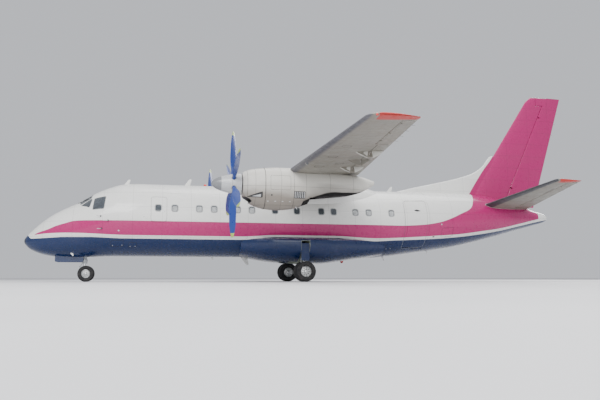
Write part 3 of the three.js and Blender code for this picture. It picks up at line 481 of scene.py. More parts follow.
class Finish:
    """A procedural material. Numbers the same all over go on the shader's own sockets."""

    def __init__(self, name, **sockets):
        self.material = bpy.data.materials.new(name)
        self.material.use_nodes = True
        self.tree = self.material.node_tree
        self.tree.nodes.clear()
        self.shader = self.tree.nodes.new("ShaderNodeBsdfPrincipled")
        output = self.tree.nodes.new("ShaderNodeOutputMaterial")
        self.tree.links.new(self.shader.outputs[0], output.inputs["Surface"])
        for socket, value in sockets.items():
            self.put(self.shader.inputs[socket.replace("_", " ")], value)

    def put(self, socket, value):
        """A socket linked to another, or set to a number or colour."""
        if isinstance(value, bpy.types.NodeSocket):
            self.tree.links.new(value, socket)
        elif isinstance(value, (tuple, list)) and socket.type == "RGBA":
            socket.default_value = (*value[:3], 1)
        else:
            socket.default_value = value

    def node(self, kind, inputs=None, output=0, **settings):
        """A node with its settings and inputs, returned as one of its outputs."""
        made = self.tree.nodes.new("ShaderNode" + kind)
        for name, value in settings.items():
            setattr(made, name, value)
        for key, value in (inputs or {}).items():
            self.put(made.inputs[key], value)
        return made.outputs[output]

    def place(self, stretch=(1, 1, 1)):
        """Object coordinates, stretched along each axis."""
        at = self.node("TexCoord", output="Object")
        return self.node("Mapping", {"Vector": at, "Scale": stretch})

    def axis(self, letter):
        """One of the object coordinates."""
        return self.node("SeparateXYZ", {0: self.place()}, output=letter)

    def trait(self, name):
        """A point attribute of the piece."""
        return self.node("Attribute", output="Fac", attribute_name=name)

    def noise(self, scale, detail=4, roughness=0.55, stretch=(1, 1, 1)):
        """Cloudy noise from nothing to one."""
        where = {"Vector": self.place(stretch), "Scale": scale, "Detail": detail, "Roughness": roughness}
        return self.node("TexNoise", where)

    def maths(self, operation, first, second=0.0, third=0.0):
        """One operation of arithmetic on up to three values."""
        return self.node("Math", {0: first, 1: second, 2: third}, operation=operation)

    def plus(self, first, second):
        return self.maths("ADD", first, second)

    def times(self, first, second):
        return self.maths("MULTIPLY", first, second)

    def ramp(self, value, low, high, to_low=0.0, to_high=1.0):
        """A value brought from one range to another and held at the ends."""
        ends = {"Value": value, "From Min": low, "From Max": high, "To Min": to_low, "To Max": to_high}
        return self.node("MapRange", ends, clamp=True)

    def patchy(self, low, high, scale, detail=4):
        """A value between two ends that changes with a noise."""
        return self.ramp(self.noise(scale, detail), 0.3, 0.7, low, high)

    def mix(self, share, first, second):
        """Two colours mixed."""
        return self.node("Mix", {0: share, 6: first, 7: second}, output=2, data_type="RGBA")

    def bump(self, height, strength, distance):
        """A normal that leans as a height rises and falls."""
        return self.node("Bump", {"Height": height, "Strength": strength, "Distance": distance})

    def lines(self, value, spacing, width):
        """One where a value is within half a width of a multiple of the spacing, else nothing."""
        cycle = self.maths("PINGPONG", value, spacing / 2)
        return self.ramp(cycle, width / 2, width, 1, 0)

    def done(self, colour, roughness=None, normal=None):
        """The material, with what feeds its colour, roughness and normal."""
        for socket, value in (("Base Color", colour), ("Roughness", roughness), ("Normal", normal)):
            if value is not None:
                self.put(self.shader.inputs[socket], value)
        return self.material


WHITE = (0.80, 0.80, 0.77)
MAGENTA = (0.43, 0.016, 0.140)
NAVY = (0.0035, 0.019, 0.082)
GRIME = (0.20, 0.175, 0.14)
WING_GREY = (0.235, 0.222, 0.188)


def weathered(finish, colour, amount=0.25, scale=1.4):
    """Paint with broad soft dirt and fine streaks along the airflow."""
    broad = finish.ramp(finish.noise(scale, 5, 0.6, (0.5, 1, 1)), 0.45, 0.75)
    streak = finish.ramp(finish.noise(9, 4, 0.6, (0.08, 1, 1)), 0.5, 0.8)
    dirt = finish.times(finish.plus(broad, streak), amount)
    return finish.mix(dirt, colour, GRIME)


def skin_paint():
    """Gloss paint of the fuselage and fin, its colours laid out by the livery traits, with frame
    and stringer seams and a slight waviness of the sheet."""
    finish = Finish("skin_paint", Coat_Weight=0.4, Coat_Roughness=0.06, Specular_IOR_Level=0.3)
    edge = 0.004
    pink = finish.ramp(finish.trait("magenta"), -edge, edge)
    navy = finish.ramp(finish.trait("navy"), -edge, edge)
    painted = finish.mix(pink, WHITE, MAGENTA)
    painted = finish.mix(navy, painted, NAVY)
    along = finish.axis("X")
    cap = finish.ramp(along, NOSE_X - 0.11, NOSE_X - 0.02, 0, 0.8)
    painted = finish.mix(cap, painted, (0.02, 0.024, 0.032))
    frames, stringers = finish.lines(along, 1.06, 0.007), finish.lines(finish.axis("Z"), 0.55, 0.006)
    seam = finish.maths("MAXIMUM", frames, stringers)
    aged = weathered(finish, painted, 0.05)
    dark = finish.mix(finish.times(seam, 0.35), aged, (0.03, 0.03, 0.035))
    wave = finish.noise(1.1, 1, 0.3)
    normal = finish.bump(finish.maths("MULTIPLY_ADD", seam, -0.12, wave), 0.2, 0.02)
    rough = finish.ramp(finish.noise(5, 5, 0.6), 0.3, 0.75, 0.22, 0.38)
    return finish.done(dark, rough, normal)


def glass(name, tint):
    """Dark glazing with faint smears in a lighter tint."""
    finish = Finish(name, IOR=1.5, Specular_IOR_Level=0.7, Coat_Weight=0.6, Coat_Roughness=0.03)
    smear = finish.noise(14, 4, 0.6)
    colour = finish.mix(finish.ramp(smear, 0.35, 0.8), tint, tuple(2.2 * c for c in tint))
    return finish.done(colour, finish.ramp(smear, 0.3, 0.8, 0.05, 0.16))


def plain_paint(name, colour, rough=0.4, metal=0.0, dirt=0.15, scale=3.0, grain=80):
    """Painted or bare metal of one colour, worn and slightly dirty, with a fine grain."""
    finish = Finish(name, Metallic=metal)
    aged = weathered(finish, colour, dirt, scale)
    fleck = finish.noise(grain, 4, 0.6)
    shade = finish.mix(finish.ramp(fleck, 0.3, 0.8, 0, 0.25), aged, tuple(0.7 * c for c in colour))
    normal = finish.bump(fleck, 0.15, 0.004)
    return finish.done(shade, finish.patchy(rough - 0.08, rough + 0.1, scale * 2), normal)


# Livery traits


def nowhere(station, y, level):
    """A livery trait for a piece without that colour."""
    return station * 0 - 1


def magenta_trait(station, y, level):
    """How far inside the magenta a point is: under its top edge, over its foot, ahead of its end."""
    top = flowing(MAGENTA_TOP, station)[:, 0] - level
    foot = level - flowing(MAGENTA_FOOT, station)[:, 0]
    start = station - MAGENTA_TOP[0][0]
    return np.minimum.reduce([top, foot, MAGENTA_END - station, start])


def navy_trait(station, y, level):
    """How far under the navy's top edge a point is."""
    return flowing(NAVY_TOP, station)[:, 0] - level


LIVERY = {"magenta": magenta_trait, "navy": navy_trait}
FIN_LIVERY = {
    "magenta": lambda station, y, level: flowing(MAGENTA_TOP, station)[:, 0] - level,
    "navy": nowhere,
}
PLAIN = {"magenta": nowhere, "navy": nowhere}


# Fuselage


def body_at(station):
    """Centre level and radius of the fuselage. They flow along the square root of the station, in
    which the blunt nose is nearly straight."""
    rows = [(math.sqrt(row[0]), *row[1:]) for row in BODY]
    values = flowing(rows, np.sqrt(np.maximum(station, 0)).ravel())
    shape = np.shape(station)
    return values[:, 0].reshape(shape), values[:, 1].reshape(shape)


def body_rings(stations, grow=0.0, sides=112):
    """Circles of the fuselage at the stations."""
    return on_body(stations[:, None], round_steps(sides, 0.5), grow)


def body_part(first, last, grow=0.0, size=0.12):
    """The fuselage between two stations, grown or shrunk, in rings no more than size apart."""
    return loft(body_rings(steps(first, last, size), grow))


def on_body(station, angle, height, side=PORT):
    """Points over the fuselage skin, by station, angle above the horizontal, and height."""
    centre, radius = body_at(station)
    y = side * (radius + height) * np.cos(angle)
    return spot(station, y, centre + (radius + height) * np.sin(angle))


def angle_of(station, level):
    """Angle above the horizontal of the skin at a level."""
    centre, radius = body_at(np.asarray(station, float))
    return np.arcsin(np.clip((level - centre) / radius, -1, 1))


def nose_rings():
    """Circles of the radome, closer together towards the tip."""
    share = np.linspace(0, 1, 22)
    return body_rings((RADOME_END - SEAT) * share**2)


def wheel_wells(grow=0.0):
    """The two main bays with the slots for the legs, port and then starboard."""
    rooms = []
    for size, inner in ((MAIN_WELL, MAIN_WELL["inner"] - grow), (LEG_SLOT, MAIN_WELL["outer"] - 0.01)):
        first, last = MAIN_GEAR_STATION - size["half"] - grow, MAIN_GEAR_STATION + size["half"] + grow
        rooms.append(box((first, inner, -AXIS), (last, size["outer"] + grow, size["top"] + grow)))
    return rooms + [mirrored(room) for room in rooms]


def make_fuselage(paint):
    """Radome, forward and centre sections and tail cone, with the wheel bays cut out."""
    half = NOSE_WELL["half"]
    well = box((NOSE_WELL["from"], -half, -AXIS), (NOSE_WELL["to"], half, NOSE_WELL["top"]))
    forward = carved(body_part(RADOME_END, FORWARD_END - SEAT, size=0.08), well)
    centre = carved(body_part(FORWARD_END, CENTRE_END - SEAT), *wheel_wells())
    tail = body_part(REAR_END, TAIL_END, size=0.08)
    rows = [
        ("radome_skin", loft(nose_rings()), "radome", "lower_paint_composite"),
        ("forward_skin", forward, "forward_fuselage", "white_paint"),
        ("centre_skin", centre, "centre_fuselage", "white_paint"),
        ("tail_cone_skin", tail, "tail_cone", "tail_paint_composite"),
    ]
    for name, shape, node, slot in rows:
        piece(name, shape, paint, replaces=(node,), slot=slot, traits=LIVERY)


# Paints and metals


BOOT_WORN, BOOT_DARK = (0.075, 0.074, 0.085), (0.034, 0.035, 0.040)
STAIN, TIP_RED = (0.045, 0.030, 0.016), (0.46, 0.035, 0.03)
WING_DIRT, WING_SEAM = (0.22, 0.17, 0.115), (0.06, 0.055, 0.05)
# The cowl's brown is dirt, and painted shade on the nacelle's underside
COWL_WHITE, COWL_BROWN_AND_SHADE, COWL_SEAM = (0.66, 0.64, 0.585), (0.17, 0.140, 0.112), (0.05, 0.045, 0.04)
SMOKE, BURNT = (0.05, 0.043, 0.036), (0.006, 0.005, 0.005)
BLADE_BLUE, BLADE_WORN, BLADE_TIP = (0.012, 0.045, 0.26), (0.05, 0.075, 0.18), (0.38, 0.50, 0.09)
SPINNER_GREY, SPINNER_DIRT, SPINNER_CONE = (0.50, 0.51, 0.52), (0.32, 0.31, 0.29), (0.20, 0.205, 0.215)
RUBBER_DUST = (0.11, 0.10, 0.09)


def stained(finish, x, y, half_x, half_y, strength):
    """A stain on the underside: one inside an ellipse of the plan, fading out over its rim."""
    parts = []
    for axis, middle, half in (("X", x, half_x), ("Y", y, half_y)):
        away = finish.maths("DIVIDE", finish.maths("SUBTRACT", finish.axis(axis), middle), half)
        parts.append(finish.times(away, away))
    off = finish.maths("MULTIPLY_ADD", finish.noise(9, 4, 0.6), 0.9, finish.plus(*parts))
    below = finish.ramp(finish.trait("under"), 0.0, 0.004)
    return finish.times(finish.ramp(off, 0.6, 1.5, strength, 0), below)


def wing_finish(name, base, boot=BOOT_WORN, boot_chord=0.055, soft=0.05, stains=()):
    """Paint of a wing: worn dark rubber along the leading edge, a red block on the tip aft of the
    lamp, ribs and spars as faint seams, streaks of dirt that run aft, and stains underneath."""
    finish = Finish(name)
    chord = finish.trait("chordwise")
    edge = finish.ramp(chord, boot_chord, boot_chord + soft, 1, 0)
    past_tip = finish.ramp(finish.trait("tip"), -0.002, 0.002)
    red = finish.times(past_tip, finish.ramp(chord, 0.20, 0.21))
    at = finish.axis("Y")
    ribs, spars = finish.lines(at, 0.62, 0.006), finish.lines(finish.plus(chord, 0.055), 0.21, 0.003)
    seam = finish.maths("MAXIMUM", ribs, spars)
    beside_spars = finish.lines(finish.plus(chord, 0.060), 0.21, 0.004)
    rivets = finish.times(beside_spars, finish.lines(at, 0.045, 0.006))
    streak = finish.ramp(finish.noise(3.2, 6, 0.65, (0.12, 1, 1)), 0.42, 0.72)
    blotch = finish.ramp(finish.noise(1.1, 5, 0.6), 0.4, 0.75)
    colour = finish.mix(finish.times(streak, 0.45), base, tuple(0.62 * c for c in base))
    colour = finish.mix(finish.times(blotch, 0.3), colour, WING_DIRT)
    colour = finish.mix(finish.times(seam, 0.4), colour, WING_SEAM)
    for stain in stains:
        colour = finish.mix(stained(finish, *stain), colour, STAIN)
    worn = finish.ramp(finish.noise(7, 5, 0.7), 0.35, 0.8)
    colour = finish.mix(edge, colour, finish.mix(worn, boot, tuple(1.9 * c for c in boot)))
    colour = finish.mix(red, colour, TIP_RED)
    height = finish.maths("MULTIPLY_ADD", seam, -0.5, finish.times(rivets, -0.3))
    height = finish.plus(height, finish.times(finish.noise(3.0, 2, 0.4), 0.6))
    normal = finish.bump(finish.maths("MULTIPLY_ADD", edge, 0.4, height), 0.35, 0.01)
    return finish.done(colour, finish.patchy(0.38, 0.55, 6), normal)


def nacelle_finish():
    """Off-white nacelle paint that turns brown underneath, partly dirt and partly painted shade, and
    matt black behind the exhaust, with cowl seams and rows of fasteners."""
    finish = Finish("nacelle_paint_aged", Coat_Weight=0.08, Coat_Roughness=0.15, Specular_IOR_Level=0.35)
    smear = finish.noise(2.6, 6, 0.62, (0.35, 1, 1))
    # Browner towards the bottom: dirt, and painted shade under the nacelle
    dirt = finish.ramp(finish.plus(finish.trait("low"), finish.times(smear, 0.5)), 0.20, 0.72)
    base = finish.mix(finish.times(dirt, 0.82), COWL_WHITE, COWL_BROWN_AND_SHADE)
    reach = finish.maths("MULTIPLY_ADD", finish.maths("SUBTRACT", smear, 0.5), 0.04, finish.trait("soot"))
    base = finish.mix(finish.ramp(reach, -0.10, 0.03, 0, 0.35), base, SMOKE)
    burnt = finish.ramp(reach, 0.0, 0.02)
    base = finish.mix(burnt, base, BURNT)
    at, level = finish.axis("X"), finish.axis("Z")
    frames = finish.lines(finish.plus(at, 0.02), 0.86, 0.007)
    seam = finish.maths("MAXIMUM", frames, finish.lines(finish.plus(level, -0.09), 0.62, 0.006))
    rivets = finish.times(finish.lines(finish.plus(at, 0.05), 0.86, 0.009), finish.lines(level, 0.05, 0.008))
    base = finish.mix(finish.times(seam, 0.6), base, COWL_SEAM)
    height = finish.maths("MULTIPLY_ADD", seam, -0.6, finish.times(rivets, -0.4))
    height = finish.plus(height, finish.times(finish.noise(4.0, 2, 0.4), 0.4))
    rough = finish.maths("MAXIMUM", finish.ramp(smear, 0.3, 0.7, 0.3, 0.5), finish.times(burnt, 0.95))
    return finish.done(base, rough, finish.bump(height, 0.35, 0.01))


def blade_finish():
    """Deep blue blades, worn at the front, with yellow-green tips."""
    finish = Finish("blade_paint_gloss", Coat_Weight=0.35, Coat_Roughness=0.12)
    tip = finish.ramp(finish.trait("reach"), 1.655, 1.662)
    wear = finish.ramp(finish.noise(24, 5, 0.7), 0.55, 0.75, 0, 0.35)
    colour = finish.mix(tip, finish.mix(wear, BLADE_BLUE, BLADE_WORN), BLADE_TIP)
    return finish.done(colour, finish.patchy(0.25, 0.4, 12), finish.bump(finish.noise(70, 3), 0.1, 0.003))


def spinner_finish():
    """Light grey spinner with a darker front cone and a seam."""
    finish = Finish("spinner_paint_worn", Coat_Weight=0.3, Coat_Roughness=0.1)
    ahead = finish.trait("ahead")
    front = finish.ramp(ahead, 0.40, 0.41)
    seam = finish.ramp(finish.maths("ABSOLUTE", finish.maths("SUBTRACT", ahead, 0.05)), 0.003, 0.006, 1, 0)
    smear = finish.noise(9, 5, 0.6)
    base = finish.mix(finish.ramp(smear, 0.35, 0.75, 0, 0.4), SPINNER_GREY, SPINNER_DIRT)
    base = finish.mix(front, base, SPINNER_CONE)
    base = finish.mix(finish.times(seam, 0.8), base, (0.05, 0.05, 0.05))
    return finish.done(base, finish.ramp(smear, 0.3, 0.7, 0.28, 0.45), finish.bump(seam, -0.3, 0.004))


def rubber_finish(name, colour=(0.022, 0.022, 0.024)):
    """Black rubber, dusty and a little scuffed."""
    finish = Finish(name, Specular_IOR_Level=0.3)
    dust = finish.ramp(finish.noise(9, 6, 0.65), 0.42, 0.72, 0, 0.35)
    shade = finish.mix(dust, colour, RUBBER_DUST)
    return finish.done(shade, finish.patchy(0.7, 0.9, 30), finish.bump(finish.noise(220, 3), 0.2, 0.002))


def skin_trim():
    """A thin edge trim: dark against the white and pale where it crosses the navy."""
    finish = Finish("door_trim")
    navy = finish.ramp(finish.trait("navy"), -0.004, 0.004)
    shade = finish.mix(navy, (0.05, 0.05, 0.055), (0.36, 0.38, 0.40))
    return finish.done(weathered(finish, shade, 0.2), finish.patchy(0.4, 0.6, 20))


# Outlines, and the thin bodies made from them


def placed(frame, first, second, third):
    """Points at three distances along a frame's directions."""
    origin, *directions = frame
    parts = np.broadcast_arrays(first, second, third)
    return origin + sum(part[..., None] * way for part, way in zip(parts, directions))


def prism(low, high):
    """A solid between two like rings of points, with flat ends."""
    index = np.arange(len(low))
    nxt = np.roll(index, -1)
    walls = np.stack([index, nxt, nxt + len(low), index + len(low)], -1)
    return outward(np.vstack([low, high]), [walls, np.stack([index[::-1], index + len(low)])])


def rectangle(first, last, low, high):
    """The corners of an upright rectangle, in the first two directions of a frame."""
    return [(first, low), (last, low), (last, high), (first, high)]


def slab(outline, low, high, frame):
    """A flat outline in a frame's first two directions, thick from low to high along its third."""
    first, second = np.asarray(outline, float).T
    return prism(placed(frame, first, second, low), placed(frame, first, second, high))


def rounded(half_a, half_b, radius, count=7):
    """A rectangle with round corners, as points round its middle."""
    corners = []
    for quarter, (a, b) in enumerate([(1, 1), (-1, 1), (-1, -1), (1, -1)]):
        angle = np.linspace(0, np.pi / 2, count) + quarter * np.pi / 2
        middle = np.array([a * (half_a - radius), b * (half_b - radius)])
        corners.append(middle + radius * np.stack([np.cos(angle), np.sin(angle)], -1))
    return np.vstack(corners)


def softened(corners, radius, count=5):
    """A polygon with its corners rounded off. Each becomes a parabola between two points that lie
    a radius away from it, with the corner as its control point."""
    corners = np.asarray(corners, float)

    def towards(other):
        way = other - corners
        length = np.linalg.norm(way, axis=1)[:, None]
        return corners + way * np.minimum(radius / length, 0.45)

    start, end = towards(np.roll(corners, 1, 0)), towards(np.roll(corners, -1, 0))
    share = np.linspace(0, 1, count)[:, None, None]
    curve = (1 - share) ** 2 * start + 2 * share * (1 - share) * corners + share**2 * end
    return curve.transpose(1, 0, 2).reshape(-1, 2)


def divided(outline, size):
    """A closed outline with points added so that no side is longer than a size."""
    nxt = np.roll(outline, -1, 0)
    count = np.maximum(1, np.ceil(np.linalg.norm(nxt - outline, axis=1) / size)).astype(int)
    start = np.repeat(np.arange(len(outline)), count)
    share = (np.arange(len(start)) - np.repeat(np.cumsum(count) - count, count)) / np.repeat(count, count)
    return outline[start] + share[:, None] * (nxt - outline)[start]


def pad(outline, place, low, high, edge=0.4):
    """A low closed body over a patch of skin: out along the outline at depth low, up to high with
    its edge drawn in, and back over the skin in rings, so that it follows the skin's curve."""
    middle = outline.mean(0)
    size = np.abs(outline - middle).min(1).max() + 1e-6
    inset = 1 - min(edge * (high - low) / size, 0.3)
    rows = [(0.03, low), (0.5, low), (1, low), (1, high - edge * (high - low))]
    rows += [(inset * share, high) for share in (1, 0.75, 0.5, 0.25, 0.03)]
    rings = [place(*(middle + share * (outline - middle)).T, height) for share, height in rows]
    return loft(np.array(rings))


def moulding(path, out, across, radius, sides):
    """A thin round moulding along a closed path, in two directions square to it."""
    return torus(path[:, None] + radius * spokes(out[:, None], across, sides))


def hoop(outline, place, radius, sides=6):
    """A moulding along an outline on a patch of skin, half sunk in it."""
    path = place(*outline.T, 0)
    out = unit(place(*outline.T, 1) - path)
    along = unit(np.roll(path, -1, 0) - np.roll(path, 1, 0))
    return moulding(path, out, np.cross(along, out)[:, None], radius, sides)


def body_patch(station, level, side):
    """Places on the fuselage: distance aft, distance up round the skin, and height over it."""
    turn = float(angle_of(station, level))

    def place(aft, up, height):
        where = station + np.asarray(aft, float)
        return on_body(where, turn + up / body_at(where)[1], height, side)

    return place


def oval(station, centre, half, up, down, power, y=0.0, sides=96):
    """Rings of one curve of a power: half wide, and its own height over and depth under its
    centre. At each angle the cosine and the sine are raised to two over the power."""
    across, rise = squarish(round_steps(sides, 0.5), power)
    values = np.broadcast_arrays(station, centre, half, up, down)
    station, centre, half, up, down = (np.asarray(value, float)[..., None] for value in values)
    return spot(station, y + half * across, centre + np.where(rise > 0, up, down) * rise)


# Belly blister and hump


def blister(grow=0.0):
    """The blister under the belly, grown or shrunk."""
    station = steps(BELLY[0][0], BELLY[-1][0], 0.07)
    half, bottom = flowing(BELLY, station).T
    up, down = BELLY_RISE + grow, BELLY_LEVEL - bottom + grow
    return loft(oval(station, BELLY_LEVEL, half + grow, up, down, BELLY_POWER, sides=128))


def hump():
    """The hump that carries the wing over the cabin."""
    station = steps(HUMP[0][0], HUMP[-1][0], 0.08)
    half, top = flowing(HUMP, station).T
    return loft(oval(station, HUMP_LEVEL, half, top - HUMP_LEVEL, HUMP_DROP, HUMP_POWER, sides=128))


def make_blister(paint, lining):
    """The blister with its wheel wells, and their linings."""
    skin = carved(blister(), *wheel_wells())
    piece("blister_skin", skin, paint, "airframe", ("belly_blister",), "lower_paint_composite", LIVERY)
    inside = blister(-0.006)
    wells, rooms = wheel_wells(), wheel_wells(-0.008)
    for name, number in (("port", 0), ("starboard", 2)):
        bay = carved(wells[number], rooms[number], rooms[number + 1])
        slot = carved(wells[number + 1], rooms[number + 1], rooms[number])
        walls = [carved(wall, inside, operation="INTERSECT") for wall in (bay, slot)]
        piece(f"wheel_well_lining_{name}", joined(*walls), lining, slot="lower_paint")


# Passenger door

DOOR_HINGE = {"inset": 0.012, "rise": 0.017, "pin": 0.010, "heel": 0.055}
DOOR_WALL = 0.11
DOOR_FRAME = 0.4  # how far the door's cuts reach past it along the body
LOBBY = {"from": 14.6, "to": 15.395, "floor": -0.85, "top": 0.83, "inner": -0.42, "outer": 1.7, "wall": 0.006}
LOBBY_CORNERS = ("from", "inner", "floor"), ("to", "outer", "top")
STAIR = {"steps": 6, "width": 0.64, "depth": 0.22, "tread": 0.024, "open": 120, "deep": 0.136, "thick": 0.03}
DOOR_CORNER = 0.11


def door_frame():
    """The door's frame, from the middle of its hinge: forward along the hinge, outwards and up."""

    def under_skin(station):
        centre, radius = body_at(np.array(station))
        y = math.sqrt(radius**2 - (DOOR["sill"] - centre) ** 2) - DOOR_HINGE["inset"]
        return spot(station, y, DOOR["sill"] + DOOR_HINGE["rise"])

    front, rear = under_skin(DOOR["from"]), under_skin(DOOR["to"])
    half = np.linalg.norm(front - rear) / 2
    along = (front - rear) / (2 * half)
    return ((front + rear) / 2, along, np.cross(UP, along), UP), half


def door_wedge(grow):
    """The door's room: level at its top, square to the skin along its sill, with round corners."""
    frame, half = door_frame()
    middle, along, out, up = frame
    centre, radius = body_at(np.array((DOOR["from"] + DOOR["to"]) / 2))
    rise = (centre - DOOR["sill"]) / radius
    inward = np.array([-math.sqrt(1 - rise**2), rise])
    corner = np.array([DOOR_HINGE["inset"], -DOOR_HINGE["rise"]]) + grow * np.array([-inward[1], inward[0]])
    low, high = corner - 0.3 * inward, corner + 0.9 * inward
    top = DOOR["top"] - DOOR["sill"] - DOOR_HINGE["rise"] + grow
    outline = [low, high, (high[0], top), (1.2, top), (1.2, low[1])]
    wedge = slab(outline, -half - grow, half + grow, (middle, out, up, along))
    bottom = low[1]
    face = rounded(half + grow, (top - bottom) / 2, DOOR_CORNER + grow)
    face[:, 1] += (top + bottom) / 2
    sill_side = face[:, 1] < (top + bottom) / 2
    face[sill_side, 1] = np.maximum(face[sill_side, 1], bottom)
    return carved(wedge, slab(face, -1.2, 1.2, (middle, along, up, out)), operation="INTERSECT")


def door_hinge(radius, beyond):
    """A rod along the door's hinge that reaches beyond both ends of the door."""
    frame, half = door_frame()
    return rod(*placed(frame, np.array([-1.0, 1.0]) * (half + beyond), 0.0, 0.0), radius)


def make_rear_fuselage(paint, lining):
    """The rear section with the door's opening, and the lined lobby behind it."""
    first, last = DOOR["from"] - DOOR_FRAME, DOOR["to"] + DOOR_FRAME
    gap, wall = DOOR["gap"], LOBBY["wall"]
    frame = carved(door_wedge(gap), body_part(first, last, -DOOR_WALL - gap))
    low, high = (np.array([LOBBY[key] for key in keys]) for keys in LOBBY_CORNERS)
    lobby = box(low, high)
    whole = body_part(CENTRE_END, REAR_END - SEAT, size=0.08)
    skin = carved(whole, frame, lobby, door_hinge(DOOR_HINGE["heel"], gap))
    piece("rear_skin", skin, paint, replaces=("rear_fuselage",), slot="white_paint", traits=LIVERY)
    room = box(low + wall, high + (-wall, 0.1, -wall))
    within = body_part(first, last, -DOOR_WALL - gap - 0.002)
    shell = carved(carved(lobby, room), within, operation="INTERSECT")
    piece("lobby_lining", shell, lining, slot="white_paint")


def make_door(paint, metal):
    """The door: a curved slab with its hinge rod, and the stairs on its inside."""
    first, last = DOOR["from"] - DOOR_FRAME, DOOR["to"] + DOOR_FRAME
    core = body_part(first - 0.2, last + 0.2, -DOOR_WALL, 0.05)
    shell = carved(body_part(first, last, 0.0012, 0.05), core)
    skin = carved(shell, door_wedge(0), operation="INTERSECT")
    piece("door_skin", skin, paint, "stair_door", ("passenger_door",), "white_paint", LIVERY)
    stairs = joined(*door_stairs(), door_hinge(DOOR_HINGE["pin"], 0.04))
    piece("door_stairs", stairs, metal, "stair_door", slot="gear_steel")


def door_stairs():
    """Treads that are level when the door is open, between two stringers along its inside."""
    (middle, along, out, up), _ = door_frame()
    centre, radius = body_at(np.array((DOOR["from"] + DOOR["to"]) / 2))
    inside = radius - DOOR_WALL + 0.02

    def on_face(level):
        return np.array([math.sqrt(inside**2 - (level - centre) ** 2) - middle[1], AXIS + level - middle[2]])

    def leaning(point, angle):
        """A frame at a point of the door's section, its second direction turned up from outwards."""
        second = math.cos(angle) * out + math.sin(angle) * up
        third = -math.sin(angle) * out + math.cos(angle) * up
        return (middle + point[0] * out + point[1] * up, along, second, third)

    foot = on_face(LOBBY["floor"] + 0.09)
    run = on_face(LOBBY["top"] - 0.1) - foot
    parts = []
    board = rounded(STAIR["width"] / 2, STAIR["depth"] / 2, 0.02, 4)
    for number in range(STAIR["steps"]):
        tread = leaning(foot + run * (number + 0.6) / (STAIR["steps"] + 0.2), math.radians(STAIR["open"]))
        parts.append(slab(board, -STAIR["tread"] / 2, STAIR["tread"] / 2, tread))
    beam = leaning(foot + run / 2, math.atan2(run[1], run[0]))
    plank = rounded(np.linalg.norm(run) / 2, STAIR["deep"] / 2, 0.03, 5)
    for side in (-1, 1):
        place = (beam[0] + side * STAIR["width"] / 2 * along, beam[2], beam[3], along)
        parts.append(slab(plank, -STAIR["thick"] / 2, STAIR["thick"] / 2, place))
    return parts


# Wings and tail

WING = [  # distance from the centreline, leading edge, chord, level, thickness ratio
    (0, 9.0, 3.06, 1.44, 0.142),
    (4.13, 9.08, 2.56, 1.44, 0.14),
    (11.95, 9.22, 1.32, 1.50, 0.12),
]
CAMBER, CAMBER_PEAK = 0.02, 0.4
WING_BREAK = 4.7
TIP = {"start": 11.95, "rake": 0.11, "chord": 1.14, "ratio": 0.07}
FIN = [  # level, then as the wing's
    (0.7, 17.6, 3.4, 0, 0.11),
    (5.66, 20.854, 1.682, 0, 0.10),
    (FIN_TOP, 21.12, 1.485, 0, 0.09),
]
DORSAL = [  # station, level of the top
    (14.3, 1.33),
    (15.5, 1.62),
    (16.3, 1.80),
    (17.2, 2.01),
    (18.1, 2.29),
    (18.6, 2.60),
    (19.1, 3.12),
    (20.4, 3.12),
]
DORSAL_HALF, DORSAL_ROOT = 0.055, 0.7
TAILPLANE = [  # distance along the slanted plane, then as the wing's
    (0.3, 18.12, 2.4, 0, 0.11),
    (4.55, 19.18, 1.12, 0, 0.10),
]
TAILPLANE_ROOT, DIHEDRAL = 0.71, math.radians(9.2)
ROOT_SEAM = {"proud": 0.008, "thicker": 1.06, "wide": 0.014}
TAIL_GREY = (0.200, 0.187, 0.156)
TAIL_STAINS = [  # forward, to port, half sizes along each, strength
    (-8.43, 3.27, 0.07, 0.42, 0.75),
    (-8.54, 1.80, 0.07, 0.10, 0.95),
    (-8.58, 0.75, 0.05, 0.09, 0.8),
    (-8.66, -2.35, 0.05, 0.09, 0.8),
]
AILERON = {"from": 9.23, "to": 11.9, "hinge": 0.76}
INNER_FLAP = {"from": 1.42, "to": 3.56, "hinge": 0.8}
OUTER_FLAP = {"from": 4.73, "to": 9.19, "hinge": 0.8}
ELEVATOR = {"from": 0.85, "to": 4.33, "hinge": 0.66}
RUDDER = {"from": 0.85, "to": 5.48, "hinge": 0.56, "clear": 0.045}
RUDDER_HORN = {"level": 5.5, "station": 21.33}
END_GAP, NOSE_GAP = 0.025, 0.014
HINGE = {"pin": 0.010, "plate": 0.020, "eye": 0.026, "notch": 0.034, "behind": 0.036, "arm": 0.018}
AILERON_HINGES, ELEVATOR_HINGES, RUDDER_HINGES = (9.66, 10.58, 11.62), (1.25, 3.9), (1.7, 4.95)
BRACKETS = {"drop": 0.15, "reach": 0.43, "trail": 0.28, "near": 0.0025, "far": 0.034}
SHORT_FAIRING = 6.95  # the bracket whose fairing is short and doesn't move
FLAPS = {  # panel, and the span positions of its brackets
    "inner": (INNER_FLAP, (1.9, 3.25)),
    "outer": (OUTER_FLAP, (5.7, SHORT_FAIRING, 8.23)),
}
FAR_AFT = 24.0  # a station past the tail


def half_thickness(x):
    """Half the thickness of a section at shares of the chord, for a ratio of a fifth: 0.2969 root
    x, less 0.126 x, 0.3516 x squared and 0.1015 x to the fourth, plus 0.2843 x cubed."""
    return 0.2969 * np.sqrt(x) - 0.126 * x - 0.3516 * x**2 + 0.2843 * x**3 - 0.1015 * x**4


def camber_line(x):
    """Height of the camber line over the chord, of two parabolas that meet at the peak."""
    peak = CAMBER_PEAK
    ahead = (2 * peak * x - x**2) / peak**2
    behind = (1 - 2 * peak + 2 * peak * x - x**2) / (1 - peak) ** 2
    return np.where(x < peak, ahead, behind)


